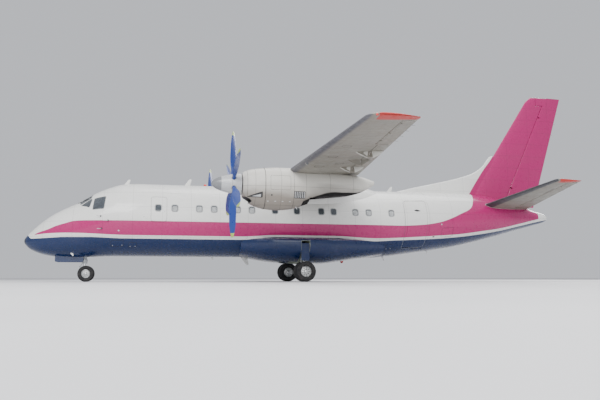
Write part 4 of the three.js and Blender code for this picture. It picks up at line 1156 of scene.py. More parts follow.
class Foil:
    """A wing, fin or tailplane. Its rows give span position, leading edge, chord, level of the
    chord plane and thickness ratio. `place` makes points of station, span position and height."""

    def __init__(self, rows, camber, place):
        self.rows, self.camber, self.place = rows, camber, place

    def section(self, row, span, share, side):
        """Points of the section at shares of the chord, on side 1, the upper, or -1. The half
        thickness is five times the ratio times the one for a fifth."""
        edge, chord, level, ratio = (row[..., k, None] for k in range(4))
        line = self.camber * camber_line(share)
        height = level + chord * (line + side * 5 * ratio * half_thickness(share))
        return self.place(edge + share * chord, np.asarray(span)[..., None] + 0 * share, height)

    def rings(self, rows, spans, count=20):
        """Closed rings: over the top from the trailing edge to the nose, and back underneath."""
        share = (1 - np.cos(np.pi * np.arange(count + 1) / count)) / 2
        shares = np.concatenate([share[::-1], share[1:]])
        return self.section(rows, spans, shares, np.repeat([1, -1], [count + 1, count]))

    def spans(self, first, last, size):
        """Span positions no more than size apart, and at every row between."""
        inside = [row[0] for row in self.rows if first + 0.001 < row[0] < last - 0.001]
        return np.unique(np.concatenate([steps(first, last, size), inside]))

    def part(self, first, last, crown=0.0, size=0.3):
        """The skin between two span positions. With a crown, the last stretch closes round, its
        thickness falling as a quarter circle does."""
        spans = self.spans(first, last - crown, size)
        thin = np.ones(len(spans))
        if crown:
            turn = np.linspace(0, np.pi / 2, 8)[1:]
            spans = np.append(spans, last - crown + crown * np.sin(turn))
            thin = np.append(thin, np.maximum(np.cos(turn), 0.04))
        rows = between(self.rows, spans)
        rows[:, 3] *= thin
        return loft(self.rings(rows, spans))

    def hinge(self, span, part):
        """Station, height and radius of a surface's nose at a span position."""
        edge, chord, level, ratio = between(self.rows, np.atleast_1d(np.asarray(span, float))).T
        x = part["hinge"]
        line = self.camber * camber_line(x)
        return edge + x * chord, level + line * chord, 5 * ratio * half_thickness(x) * chord

    def panel(self, part, size=0.3, back=9, nose=14):
        """A control surface: a round nose about its hinge, then the section to the trailing edge."""
        spans = self.spans(part["from"] + END_GAP, part["to"] - END_GAP, size)
        rows = between(self.rows, spans)
        station, height, radius = (value[:, None] for value in self.hinge(spans, part))
        share = np.linspace(1, part["hinge"], back)
        turn = np.pi * np.arange(1, nose) / nose
        over = self.section(rows, spans, share, 1)
        under = self.section(rows, spans, share[::-1], -1)
        station, height = station - np.sin(turn) * radius, height + np.cos(turn) * radius
        front = self.place(station, spans[:, None] + 0 * turn, height)
        return loft(np.concatenate([over, front, under], 1))

    def bay(self, part, low, high):
        """The room that a surface takes out of the fixed part, behind its wall."""
        spans = self.spans(part["from"], part["to"], 10)
        station, _, radius = self.hinge(spans, part)
        wall = np.stack([station - radius - NOSE_GAP, spans], -1)
        first, second = np.vstack([wall, [[FAR_AFT, part["to"]], [FAR_AFT, part["from"]]]]).T
        return prism(*(self.place(first, second, np.full(len(first), height)) for height in (low, high)))

    def line(self, start, end, share):
        """A frame on a hinge line: aft, up from the surface, and along the line."""
        along = unit(end - start)
        aft = unit(AFT - along * (AFT @ along))
        return (start + share * (end - start), aft, np.cross(along, aft), along)

    def hinges(self, part, spans):
        """Plates that stand on the fixed part, the notches they reach into, and the pins."""
        plates, notches, pins = [], [], []
        plate, arm_half, deep = HINGE["plate"], HINGE["arm"], 0.4
        ends = [part["from"], part["to"]]
        station, height, _ = self.hinge(ends, part)
        start, end = self.place(station, np.array(ends), height)
        for span in spans:
            frame = self.line(start, end, (span - ends[0]) / (ends[1] - ends[0]))
            reach = float(self.hinge(span, part)[2][0]) + NOSE_GAP + 0.04
            arm = [(-reach, -arm_half), (-reach, arm_half), (0, arm_half), (0, -arm_half)]
            front, behind = -reach - 0.06, HINGE["behind"]
            room = [(front, -deep), (front, deep), (behind, deep), (behind, -deep)]
            plates += [slab(arm, -plate, plate, frame), self.pin(frame, HINGE["eye"], plate)]
            notches.append(slab(room, -HINGE["notch"], HINGE["notch"], frame))
            pins.append(self.pin(frame, HINGE["pin"], HINGE["notch"] + 0.02))
        return plates, notches, pins

    def pin(self, frame, radius, half):
        """A rod along the hinge line, half of it on each side of a frame."""
        return rod(*placed(frame, 0.0, 0.0, np.array([-half, half])), radius)


def slanted(station, span, height):
    """Points of the tailplane, raised by its dihedral as they go outboard."""
    cosine, sine = math.cos(DIHEDRAL), math.sin(DIHEDRAL)
    return spot(station, span * cosine - height * sine, TAILPLANE_ROOT + span * sine + height * cosine)


wing_foil = Foil(WING, CAMBER, spot)
fin_foil = Foil(FIN, 0.0, lambda station, span, height: spot(station, height, span))
tail_foil = Foil(TAILPLANE, 0.0, slanted)


def plane_traits(rows, tip, surface):
    """Point attributes of a wing: share of the chord, how far past the start of the tip's colour a
    point is, and how far under the surface, whose level `surface` gives for a distance out."""

    def chordwise(station, y, level):
        edge, chord = between(rows, np.abs(y))[..., :2].T
        return (station - edge) / chord

    return {
        "chordwise": chordwise,
        "tip": lambda station, y, level: np.abs(y) - tip,
        "under": lambda station, y, level: surface(np.abs(y)) - level,
    }


WING_TRAITS = plane_traits(WING, 11.97, lambda out: between(WING, out)[..., 2])
TAILPLANE_TRAITS = plane_traits(TAILPLANE, 4.34, lambda out: TAILPLANE_ROOT + out * math.tan(DIHEDRAL))


def wing_tip():
    """The tip: the last section shrinks and moves aft to the full span, and closes round."""
    closes = 0.85  # the share of the way out at which it begins to close
    turn = np.linspace(0, np.pi / 2, 7)[1:]
    share = np.concatenate([np.linspace(0, closes, 10), closes + (1 - closes) * np.sin(turn)])
    edge, chord, level, ratio = between(WING, TIP["start"])
    inset = TIP["rake"] * share**2
    closing = np.sqrt(np.clip(1 - ((share - closes) / (1 - closes)).clip(0) ** 2, 0.002, 1))
    chords = chord - inset - (chord - TIP["rake"] - TIP["chord"]) * share**4
    ratios = (ratio + (TIP["ratio"] - ratio) * share) * closing
    rows = np.stack([edge + inset, chords, level + 0 * share, ratios], -1)
    return loft(wing_foil.rings(rows, TIP["start"] + (HALF_SPAN - TIP["start"]) * share))


def bracket_frame(part, spans, span):
    """The frame of a flap's hinge, which hangs below the wing just behind the wall."""

    def point(position):
        station, height, radius = (float(value[0]) for value in wing_foil.hinge(position, part))
        return spot(station - radius + 0.012, position, height - radius - BRACKETS["drop"])

    first, last = spans[0], spans[-1]
    return wing_foil.line(point(first), point(last), (span - first) / (last - first))


def fairing(frame, first, last, top, bottom, half, peak):
    """A slim fairing about a hinge's plane, from first to last aft of it. Its depth and width
    grow as a power of the distance from either end, and are greatest at the share named peak."""
    share = np.unique(np.append(np.linspace(0, 1, 15), peak))
    swell = np.maximum(np.minimum(share / peak, (1 - share) / (1 - peak)) ** 0.62, 0.06)
    angle = round_steps(20)
    low = top + (bottom - top) * swell
    up = ((top + low) / 2)[:, None] + ((top - low) / 2)[:, None] * np.sin(angle)
    out = half * swell[:, None] * np.cos(angle)
    return loft(placed(frame, (first + (last - first) * share)[:, None], up, out))


def bracket(part, spans, span):
    """A flap bracket under the wing with its pin."""
    frame = bracket_frame(part, spans, span)
    drop, reach, near, far = (BRACKETS[key] for key in ("drop", "reach", "near", "far"))
    outline = [
        (0.022, 0),
        (0.012, -0.022),
        (-0.06, -0.03),
        (-0.15, -0.01),
        (-reach, drop - 0.02),
        (-reach + 0.04, drop + 0.06),
        (-NOSE_GAP - 0.016, drop + 0.06),
        (-NOSE_GAP - 0.016, 0.04),
        (0.012, 0.022),
    ]
    return [slab(outline, near, far, frame), wing_foil.pin(frame, HINGE["pin"], far)]


def lug(part, spans, span):
    """The lug of a flap that turns on a bracket's pin."""
    frame = bracket_frame(part, spans, span)
    drop, trail, near, far = (BRACKETS[key] for key in ("drop", "trail", "near", "far"))
    outline = [
        (-0.022, 0),
        (0, -0.022),
        (0.06, -0.012),
        (trail, drop - 0.02),
        (trail, drop + 0.04),
        (0.04, drop + 0.04),
        (-0.012, 0.03),
    ]
    return slab(outline, -far, -near, frame)


def make_wings(paint, wing_paint):
    """Wing centre with the hump, outer wings, flaps and ailerons."""
    piece("hump_skin", hump(), paint, replaces=("wing_centre",), slot="white_paint", traits=PLAIN)
    brackets, flaps = [], []
    for part, spans in FLAPS.values():
        brackets.append([shape for span in spans for shape in bracket(part, spans, span)])
        flaps.append(joined(wing_foil.panel(part), *(lug(part, spans, span) for span in spans)))
    half = carved(wing_foil.part(0, WING_BREAK - SEAT), wing_foil.bay(INNER_FLAP, 0.8, 2.2))
    port = joined(half, *brackets[0])
    piece("wing_centre_skin", joined(port, mirrored(port)), wing_paint, slot="wing_paint", traits=WING_TRAITS)
    plates, notches, pins = wing_foil.hinges(AILERON, AILERON_HINGES)
    bays = [wing_foil.bay(part, 0.8, 2.2) for part in (OUTER_FLAP, AILERON)]
    panel = carved(wing_foil.part(WING_BREAK, TIP["start"]), *bays)
    outer = joined(panel, wing_tip(), *brackets[1], *plates)
    aileron = joined(carved(wing_foil.panel(AILERON), *notches), *pins)
    rows = [
        ("wing", outer, "wing_paint"),
        ("inner_flap", flaps[0], "wing_paint"),
        ("outer_flap", flaps[1], "wing_paint"),
        ("aileron", aileron, "wing_paint_composite"),
    ]
    for name in SIDES:
        for stem, shape, slot in rows:
            body = "airframe" if stem == "wing" else f"{name}_{stem}"
            side_piece(f"{stem}_skin", name, shape, wing_paint, body, (f"{stem}_{name}",), slot, WING_TRAITS)


def dorsal():
    """The long low fin ahead of the fin: a ridge with a round top and spreading foot."""
    station = steps(DORSAL[0][0], DORSAL[-1][0], 0.1)
    top = flowing(DORSAL, station)[:, 0]
    turn = np.linspace(0, np.pi, 9)[1:-1]
    half, shoulder, foot = DORSAL_HALF, 0.08, 0.14
    y = np.concatenate([[foot, shoulder, half], half * np.cos(turn), [-half, -shoulder, -foot]])
    level = np.concatenate([[-1.0, -0.5, -half], -half + half * np.sin(turn), [-half, -0.5, -1.0]])
    rows = np.where(level < -half, DORSAL_ROOT, top[:, None] + level)
    middle = np.abs(np.abs(y) - shoulder) < 0.001
    rows[:, middle] = np.maximum(DORSAL_ROOT, top[:, None] - 0.45)
    return loft(spot(station[:, None], y + 0 * rows, rows))


def make_tail(paint):
    """Fin with the dorsal ridge, and the rudder with its horn."""
    horn, horn_start = RUDDER_HORN["level"], RUDDER_HORN["station"]
    below, above = 0.6, 6.2
    station, _, radius = fin_foil.hinge([below, horn], RUDDER)
    wall = station - radius - NOSE_GAP
    step = horn_start - NOSE_GAP
    outline = [(wall[0], below), (wall[1], horn), (step, horn), (step, above)]
    bay = slab([*outline, (FAR_AFT, above), (FAR_AFT, below)], -0.4, 0.4, UPRIGHT)
    plates, notches, pins = fin_foil.hinges(RUDDER, RUDDER_HINGES)
    fin = joined(carved(fin_foil.part(FIN[0][0], FIN_TOP, 0.05), bay), carved(dorsal(), bay), *plates)
    piece("fin_skin", fin, paint, replaces=("fin",), slot="tail_paint", traits=FIN_LIVERY)
    base = fin_foil.panel({**RUDDER, "to": FIN_TOP + END_GAP})
    corners = [(horn_start, below), (horn_start, above), (FAR_AFT, above), (FAR_AFT, below)]
    aft = slab(corners, -0.4, 0.4, UPRIGHT)
    cap = carved(fin_foil.part(horn + NOSE_GAP, FIN_TOP, 0.05), aft, operation="INTERSECT")
    room = body_part(CENTRE_END, TAIL_END, RUDDER["clear"])
    rudder = joined(carved(carved(base, room, *notches), cap, operation="UNION"), *pins)
    piece("rudder_skin", rudder, paint, "rudder_panel", ("rudder",), "tail_paint_composite", FIN_LIVERY)


def make_tailplanes(paint, trim):
    """Tailplanes and elevators, and the trim where each tailplane meets the body: the part of a
    slightly larger section that lies within the skin's own thickness of it. The trim's pale paint is
    partly a painted glint along the junction."""
    plates, notches, pins = tail_foil.hinges(ELEVATOR, ELEVATOR_HINGES)
    root, tip = TAILPLANE[0][0], TAILPLANE[1][0]
    plane = joined(carved(tail_foil.part(root, tip, 0.06), tail_foil.bay(ELEVATOR, -0.4, 0.4)), *plates)
    proud, thicker = ROOT_SEAM["proud"], ROOT_SEAM["thicker"]
    seam_rows = [
        (span, edge - proud, chord + 2 * proud, level, ratio * thicker)
        for span, edge, chord, level, ratio in TAILPLANE
    ]
    seam = Foil(seam_rows, 0.0, slanted).part(root, 1.6)
    seam = carved(seam, body_part(17.9, TAIL_END - 0.3, ROOT_SEAM["wide"], 0.05), operation="INTERSECT")
    elevator = joined(carved(tail_foil.panel(ELEVATOR), *notches), *pins)
    rows = [("tailplane", plane, "tail_paint"), ("elevator", elevator, "tail_paint_composite")]
    for name in SIDES:
        # Pale root trim: a fillet, its paint partly a painted glint
        side_piece("tailplane_root_trim_painted_glint", name, seam, trim, slot="tail_paint")
        for stem, shape, slot in rows:
            body = "airframe" if stem == "tailplane" else f"{name}_{stem}"
            side_piece(f"{stem}_skin", name, shape, paint, body, (f"{stem}_{name}",), slot, TAILPLANE_TRAITS)


# Nacelles and propellers

ENGINE = {"y": 4.13, "level": 0.94, "front": 7.48, "disc": 7.18, "tip": 6.45}
NACELLE = [  # station, half width, then top, bottom and widest level from the engine's axis
    (7.48, 0.385, 0.385, -0.400, 0),
    (7.60, 0.450, 0.450, -0.560, 0),
    (7.85, 0.510, 0.520, -0.720, 0),
    (8.25, 0.550, 0.570, -0.830, 0),
    (8.70, 0.560, 0.600, -0.860, 0),
    (9.20, 0.555, 0.600, -0.800, 0),
    (9.70, 0.530, 0.590, -0.640, 0),
    (10.4, 0.470, 0.540, -0.480, 0),
    (11.1, 0.380, 0.470, -0.350, 0.02),
    (11.7, 0.260, 0.380, -0.160, 0.08),
    (12.16, 0.09, 0.240, 0.090, 0.165),
]
NACELLE_POWER = 2.25
PROP = {"blades": 6, "hub": 0.215, "hub_half": 0.17, "shank": 0.062, "shaft": 0.095, "socket": 0.07}
BLADE_TURNS = [360 / PROP["blades"] * number for number in range(PROP["blades"])]
SPINNER = {"radius": 0.365, "back": 7.44, "power": 1.45}
BLADE = [  # distance from the hub's centre, chord, thickness, pitch in degrees
    (0.15, 0.124, 0.124, 60),
    (0.43, 0.130, 0.120, 60),
    (0.65, 0.235, 0.066, 56),
    (0.95, 0.300, 0.044, 49),
    (1.30, 0.300, 0.032, 42),
    (1.60, 0.235, 0.022, 37),
    (1.80, 0.095, 0.010, 34),
]
JET_PIPE = {"radius": 0.255, "end": 9.8, "level": 0.64, "room": 0.04}
# The exhaust's trough, cut out of the nacelle: corners as station and level
TROUGH = [(9.66, -0.8), (9.74, 0.5), (11.2, 0.64), (12.4, 0.9), (12.4, -0.8)]
CHIN = {"drop": 0.53, "half": 0.30, "up": 0.095, "down": 0.11, "power": 2.6, "length": 0.62}


def nacelle_rings(station, grow=0.0, sides=96):
    """Rings of the port nacelle at the stations."""
    half, top, bottom, widest = flowing(NACELLE, station).T
    up, down = top - widest + grow, widest - bottom + grow
    return oval(station, ENGINE["level"] + widest, half + grow, up, down, NACELLE_POWER, ENGINE["y"], sides)


def chin_rings(station, grow=0.0):
    """Rings of the chin intake's duct."""
    size = [CHIN[key] + grow for key in ("half", "up", "down")]
    return oval(station, ENGINE["level"] - CHIN["drop"], *size, CHIN["power"], ENGINE["y"], 48)


def chin_lip(radius):
    """A lip along the edge of the chin intake, where its outline meets the nacelle's skin."""
    ring = chin_rings(np.array([0.0]))[0]
    y, z = ring[:, 1] - ENGINE["y"], ring[:, 2] - AXIS - ENGINE["level"]
    station = np.linspace(ENGINE["front"], 8.2, 240)
    half, _, bottom, _ = flowing(NACELLE, station).T
    inside = (np.abs(y) / half[:, None]) ** NACELLE_POWER + np.abs(z / bottom[:, None]) ** NACELLE_POWER < 1
    path = spot(station[inside.argmax(0)], ring[:, 1], ring[:, 2] - AXIS)
    return moulding(path, unit((ring - ring.mean(0)) * (0, 1, 1)), AFT, radius, 10)


SOOT = [  # station, half width
    (9.45, -0.1),
    (9.52, 0.36),
    (10.3, 0.43),
    (11.0, 0.34),
    (11.6, 0.15),
    (12.0, -0.1),
]


def soot_trait(station, y, level):
    """How far inside the exhaust's sooty track a point is: within its width and under the side."""
    widest = flowing(NACELLE, station)[:, 3]
    inside = flowing(SOOT, station)[:, 0] - np.abs(np.abs(y) - ENGINE["y"])
    return np.minimum(inside, ENGINE["level"] + widest - 0.04 - level)


NACELLE_TRAITS = {"low": lambda station, y, level: ENGINE["level"] - level, "soot": soot_trait}


def make_nacelle(name, paint, dark):
    """A nacelle with its exhaust trough, and the duct of its chin intake."""
    y, level, front = ENGINE["y"], ENGINE["level"], ENGINE["front"]
    station = steps(front, NACELLE[-1][0], 0.06)
    station = np.unique(np.concatenate([station, front + 0.12 * np.linspace(0, 1, 5) ** 2]))
    whole = loft(nacelle_rings(station))
    middle, end = JET_PIPE["level"], front + CHIN["length"]
    wide = JET_PIPE["radius"] + JET_PIPE["room"]
    cutters = [
        slab(TROUGH, y - 0.7, y + 0.7, UPRIGHT),
        rod(spot(9.05, y, middle), spot(JET_PIPE["end"] + 0.3, y, middle), wide, sides=40),
        loft(chin_rings(np.array([front - 0.1, end]))),
        rod(spot(front - 0.1, y, level), spot(front + PROP["socket"], y, level), PROP["shaft"] + 0.012),
    ]
    skin = carved(whole, *cutters)
    node = (f"nacelle_{name}",)
    side_piece("nacelle_skin", name, skin, paint, "airframe", node, "nacelle_paint", NACELLE_TRAITS)
    along = steps(front - 0.004, end - 0.02, 0.05)
    duct = torus(np.concatenate([chin_rings(along, 0.006), chin_rings(along, -0.008)[::-1]]))
    back = loft(chin_rings(np.array([end - 0.05, end - 0.03]), -0.004))
    duct = joined(carved(duct, whole, operation="INTERSECT"), back)
    side_piece("chin_duct", name, duct, dark, slot="engine_steel")


def blade():
    """One blade, standing up from the hub's centre. Its section is an ellipse whose rear half is
    drawn out, and it is turned by the pitch about the blade's length."""
    closes, last = 1.74, BLADE[-1][0]
    turn = np.linspace(0, np.pi / 2, 6)[1:]
    radius = np.concatenate([steps(BLADE[0][0], closes, 0.05), closes + (last - closes) * np.sin(turn)])
    chord, thick, pitch = flowing(BLADE, radius).T
    angle = round_steps(28)
    slender = np.clip((radius - BLADE[1][0]) / 0.25, 0, 1)[:, None]
    tail_off = 1 - 0.35 * slender * (1 - np.cos(angle)) / 2
    across = np.cos(angle) * chord[:, None] / 2
    through = np.sin(angle) * tail_off * thick[:, None] / 2
    turn = np.radians(pitch)[:, None]
    x = across * np.sin(turn) + through * np.cos(turn)
    y = across * np.cos(turn) - through * np.sin(turn)
    return loft(np.stack([x, y, radius[:, None] + 0 * x], -1))


def about_x(shape, degrees, move=(0, 0, 0)):
    """A shape turned about the X axis and moved."""
    points, faces = shape
    cosine, sine = math.cos(math.radians(degrees)), math.sin(math.radians(degrees))
    turn = np.array([[1, 0, 0], [0, cosine, -sine], [0, sine, cosine]])
    return points @ turn.T + np.asarray(move, float), faces


def make_propeller(name, side, paint, metal):
    """Six blades on a hub, with the shaft behind it and a collar round each blade's foot."""
    centre = spot(ENGINE["disc"], side * ENGINE["y"], ENGINE["level"])
    body, one = f"{name}_propeller", blade()
    blades = joined(*(about_x(one, turn, centre) for turn in BLADE_TURNS))
    traits = {"reach": lambda station, y, level: np.hypot(y - side * ENGINE["y"], level - ENGINE["level"])}
    piece(f"blades_{name}", blades, paint, body, (f"propeller_{name}",), "blade_paint", traits)
    radius, half = PROP["hub"], PROP["hub_half"]
    hub = turned([(0, -half), (radius, -half), (radius, half), (0, half)], centre, FORWARD)
    back = ENGINE["front"] + PROP["socket"] - SEAT - ENGINE["disc"]
    shaft = rod(centre, centre + AFT * back, PROP["shaft"])
    collar = rod((0, 0, 0.19), (0, 0, 0.30), PROP["shank"] + 0.012)
    collars = [about_x(collar, turn, centre) for turn in BLADE_TURNS]
    piece(f"hub_{name}", joined(hub, shaft, *collars), metal, body, slot="blade_paint")


def make_spinner(name, side, paint):
    """The spinner, hollow over the hub, with a hole for each blade."""
    centre = spot(ENGINE["disc"], side * ENGINE["y"], ENGINE["level"])
    start = spot(SPINNER["back"], side * ENGINE["y"], ENGINE["level"])
    share = np.sin(np.linspace(0, np.pi / 2, 30))
    radius = SPINNER["radius"] * np.sqrt(np.maximum(1 - share ** SPINNER["power"], 0))
    outline = zip(radius, (SPINNER["back"] - ENGINE["tip"]) * share)
    outer = turned([(SPINNER["radius"] * 0.999, 0), *outline], start, FORWARD, 64)
    face, bore = SPINNER["back"] - ENGINE["disc"] + PROP["hub_half"] + 0.001, PROP["hub"] + 0.004
    inner = turned([(bore, -0.01), (bore, face)], start, FORWARD, 48)
    hole = rod((0, 0, 0.15), (0, 0, 0.6), PROP["shank"] + 0.02, sides=28)
    skin = carved(outer, inner, *(about_x(hole, turn, centre) for turn in BLADE_TURNS))
    traits = {"ahead": lambda station, y, level: ENGINE["disc"] - station}
    body, node = f"{name}_propeller", (f"spinner_{name}",)
    piece(f"spinner_skin_{name}", skin, paint, body, node, "spinner_paint", traits)


# Landing gear

NOSE_GEAR = {"station": 2.16, "tyre": 0.30, "width": 0.18, "apart": 0.33, "trail": 0.06}
MAIN_GEAR = {"station": MAIN_GEAR_STATION, "tyre": 0.385, "width": 0.25, "apart": 0.44, "y": 1.59}
RIM, AXLE = 0.52, 0.09  # rim and axle radius as shares of the tyre's
STEER_TOP = -1.61
NOSE_LEG = {"trunnion": -0.96, "knee": -1.33, "shelf": -0.90, "ahead": 0.56}
MAIN_LEG = {"y": 1.53, "level": -0.96, "brace_y": 1.12, "brace_level": -1.01}
MAIN_DOOR = {"half": 0.158, "low": -1.56, "top": -0.90, "inner": 1.736, "outer": 1.756}


def tyre(gear, centre, offset):
    """A tyre: round walls that bulge to its width, a crowned tread and four grooves in it. The
    outline is an oval of power 2.5 about three quarters of the radius, open where the rim is."""
    radius, half, rim = gear["tyre"], gear["width"] / 2, gear["tyre"] * RIM
    middle = 0.755 * radius
    cosine, sine = squarish(np.linspace(-0.80 * np.pi, 0.80 * np.pi, 61), 2.5)
    out, along = middle + (radius - middle) * cosine, half * sine
    tread = np.clip((out - 0.93 * radius) / (0.03 * radius), 0, 1)
    for groove in (-0.55, -0.2, 0.2, 0.55):
        near = np.clip(1 - np.abs(along / half - groove) / 0.05, 0, 1)
        out = out - tread * near * 0.025 * radius
    profile = np.vstack([[(rim, -0.6 * half)], np.stack([out, along], -1), [(rim, 0.6 * half)]])
    profile[:, 0] = np.maximum(profile[:, 0], rim)
    return turned(profile, centre + offset * ACROSS, ACROSS, 72, torus)


def wheel(gear, centre, side):
    """A wheel with a dished disc, a rim with flanges, a hub cap, a ring of holes and one of bolts."""
    radius, half, count = gear["tyre"], gear["width"] / 2, 9
    rim = radius * RIM - SEAT
    rows = [  # radius, and the distance out as a share of half the width
        (0, -0.42),
        (0.18 * radius, -0.30),
        (0.80 * rim, -0.25),
        (0.92 * rim, -0.45),
        (0.97 * rim, -0.62),
        (rim, -0.60),
        (rim, 0.60),
        (0.96 * rim, 0.63),
        (0.90 * rim, 0.45),
        (0.80 * rim, 0.22),
        (0.45 * rim, 0.30),
        (0.22 * radius, 0.38),
        (0.17 * radius, 0.60),
        (0.12 * radius, 0.68),
        (0, 0.70),
    ]
    start = centre + side * gear["apart"] / 2 * ACROSS
    disc = turned(np.array(rows) * (1, half), start, side * ACROSS, 64)
    middles = start + 0.64 * rim * spokes(FORWARD, UP, count, 0.5)
    holes = [bar(middle, half, 0.10 * rim, 16) for middle in middles]
    faces = start + side * 0.28 * half * ACROSS + 0.42 * rim * spokes(FORWARD, UP, count)
    bolts = [rod(face, face + side * 0.012 * ACROSS, 0.011, sides=6) for face in faces]
    return joined(carved(disc, *holes), *bolts)


def wheels(name, gear, centre, body, metal, rubber):
    """Two wheels, their tyres and the axle between them."""
    inner = gear["apart"] / 2
    pair = joined(wheel(gear, centre, 1), wheel(gear, centre, -1), bar(centre, inner, gear["tyre"] * AXLE))
    piece(f"{name}_wheel_pair", pair, metal, body, (f"{name}_wheels",), "wheel_metal")
    for which, offset in (("left", inner), ("right", -inner)):
        shape = tyre(gear, centre, offset)
        piece(f"{name}_tyre_{which}_round", shape, rubber, body, (f"{name}_tyre_{which}",), "tyre")


def barrel(gear, centre, half, extra):
    """A sleeve round the axle."""
    axle = gear["tyre"] * AXLE
    profile = [(axle + 0.001, -half), (axle + extra, -half), (axle + extra, half), (axle + 0.001, half)]
    return turned(profile, centre, ACROSS, 36, torus)


def link_arm(start, end, wide, narrow, thick):
    """A forked torque link between two points, a flat plate wide at the start and narrow at the
    end with a round end at each."""
    length = np.linalg.norm(end - start)
    along = (end - start) / length
    frame = (start, along, ACROSS, np.cross(along, ACROSS))
    turn = np.linspace(np.pi / 2, 1.5 * np.pi, 9)
    near = [(0.03 * math.cos(t), wide * math.sin(t)) for t in turn]
    far = [(length - 0.03 * math.cos(t), -narrow * math.sin(t)) for t in turn]
    plate = slab(near + far, -thick / 2, thick / 2, frame)
    fork = softened([(0.2 * length, -0.5 * wide), (0.2 * length, 0.5 * wide), (0.72 * length, 0)], 0.02)
    pins = (bar(start, wide * 1.05, 0.02), bar(end, narrow * 1.2, 0.018))
    return joined(carved(plate, slab(fork, -thick, thick, frame)), *pins)


def smooth_path(points, count):
    """A smooth path through a few points, along the distances between them."""
    points = np.array(points)
    length = np.concatenate([[0], np.cumsum(np.linalg.norm(np.diff(points, axis=0), axis=1))])
    return flowing(np.column_stack([length, points]), np.linspace(0, length[-1], count))


def make_nose_leg(steel, lamp):
    """Nose leg with its trunnion, brace, hoses and taxi lamp."""
    reach = NOSE_WELL["half"] - SEAT
    ahead, pivot, knee, shelf = (NOSE_LEG[key] for key in ("ahead", "trunnion", "knee", "shelf"))

    def at(level, aft=0.0, y=0.0):
        return spot(NOSE_GEAR["station"] + aft, y, level)

    upright = [  # bottom and top level, bottom and top radius
        (STEER_TOP + 0.10, shelf, 0.078, 0.078),
        (STEER_TOP + SEAT, STEER_TOP + 0.09, 0.1, 0.1),
        (STEER_TOP + 0.09, STEER_TOP + 0.12, 0.1, 0.078),
        (pivot - 0.09, pivot + 0.09, 0.098, 0.098),
        (knee - 0.05, knee + 0.05, 0.092, 0.092),
    ]
    leg = [bar(at(pivot), reach, 0.048)]
    leg += [rod(at(low), at(high), wide, narrow, 32) for low, high, wide, narrow in upright]
    leg += [bar(at(shelf, -ahead), reach, 0.03), rod(at(knee), at(shelf, -ahead), 0.034)]
    leg.append(bar(at(STEER_TOP + 0.19), 0.13, 0.038))
    hose = [(0.09, pivot), (0.12, knee), (0.10, STEER_TOP + 0.3), (0.085, STEER_TOP + 0.08)]
    for side in (-1, 1):
        leg.append(rod(at(pivot + 0.02, 0, side * 0.06), at(pivot + 0.02, 0, side * 0.2), 0.062, 0.05))
        leg.append(tube(smooth_path([at(level, 0.05, side * y) for y, level in hose], 20), 0.009, 8))
    piece("nose_leg_parts", joined(*leg), steel, replaces=("nose_leg",), slot="gear_steel")
    rows = [
        ("taxi_lamp_body", -0.07, [(0.035, 0), (0.05, 0.02), (0.062, 0.06), (0.066, 0.075)], steel),
        ("taxi_lamp_glass", -0.145, [(0.06, 0.0), (0.058, 0.008), (0.03, 0.014)], lamp),
    ]
    for name, aft, profile, material in rows:
        piece(name, turned(profile, at(-1.24, aft), FORWARD, 36), material, slot="gear_steel")


def make_nose_fork(steel, chrome, metal, rubber):
    """Steered fork with its piston and torque links, and the wheels."""
    axle = spot(NOSE_GEAR["station"] + NOSE_GEAR["trail"], 0, NOSE_GEAR["tyre"] - AXIS)

    def down(depth, ahead=0.0):
        return spot(NOSE_GEAR["station"] - ahead, 0, STEER_TOP - depth)

    fork = [
        rod(down(0), down(0.06), 0.092, sides=32),
        rod(down(0.27), axle, 0.052, sides=28),
        rod(down(0.25), down(0.30), 0.066, sides=28),
        barrel(NOSE_GEAR, axle, 0.062, 0.034),
        link_arm(down(0.04, 0.08), down(0.175, 0.17), 0.05, 0.02, 0.018),
        link_arm(down(0.285, 0.05), down(0.19, 0.17), 0.05, 0.02, 0.018),
    ]
    piece("nose_fork_parts", joined(*fork), steel, "nose_steering", ("nose_fork",), "gear_steel")
    piston = rod(down(0.055), down(0.26), 0.046, sides=32)
    piece("nose_piston", piston, chrome, "nose_steering", slot="gear_steel")
    wheels("nose", NOSE_GEAR, axle, "nose_wheel_pair", metal, rubber)


def make_nose_doors(paint):
    """The nose wheel's doors, each with three ribs inside."""
    edge = NOSE_WELL["half"]
    corners = rectangle(NOSE_WELL["from"] + 0.02, NOSE_WELL["to"] - 0.3, -1.62, -1.30)
    door = slab(divided(softened(corners, 0.06), 0.1), edge - SEAT - 0.018, edge - SEAT, UPRIGHT)
    ribs = [
        slab(rectangle(station - 0.012, station + 0.012, -1.58, -1.32), edge - 0.036, edge - 0.017, UPRIGHT)
        for station in (1.35, 1.62, 1.89)
    ]
    door = joined(door, *ribs)
    for name in SIDES:
        node = (f"nose_door_{name}",)
        side_piece("nose_door_panel", name, door, paint, "airframe", node, "lower_paint", LIVERY)


def up_leg(share):
    """A point of the port main leg, at a share of the way from its axle up to its trunnion."""
    axle = spot(MAIN_GEAR["station"], MAIN_GEAR["y"], MAIN_GEAR["tyre"] - AXIS)
    return axle + share * (spot(MAIN_GEAR["station"], MAIN_LEG["y"], MAIN_LEG["level"]) - axle)


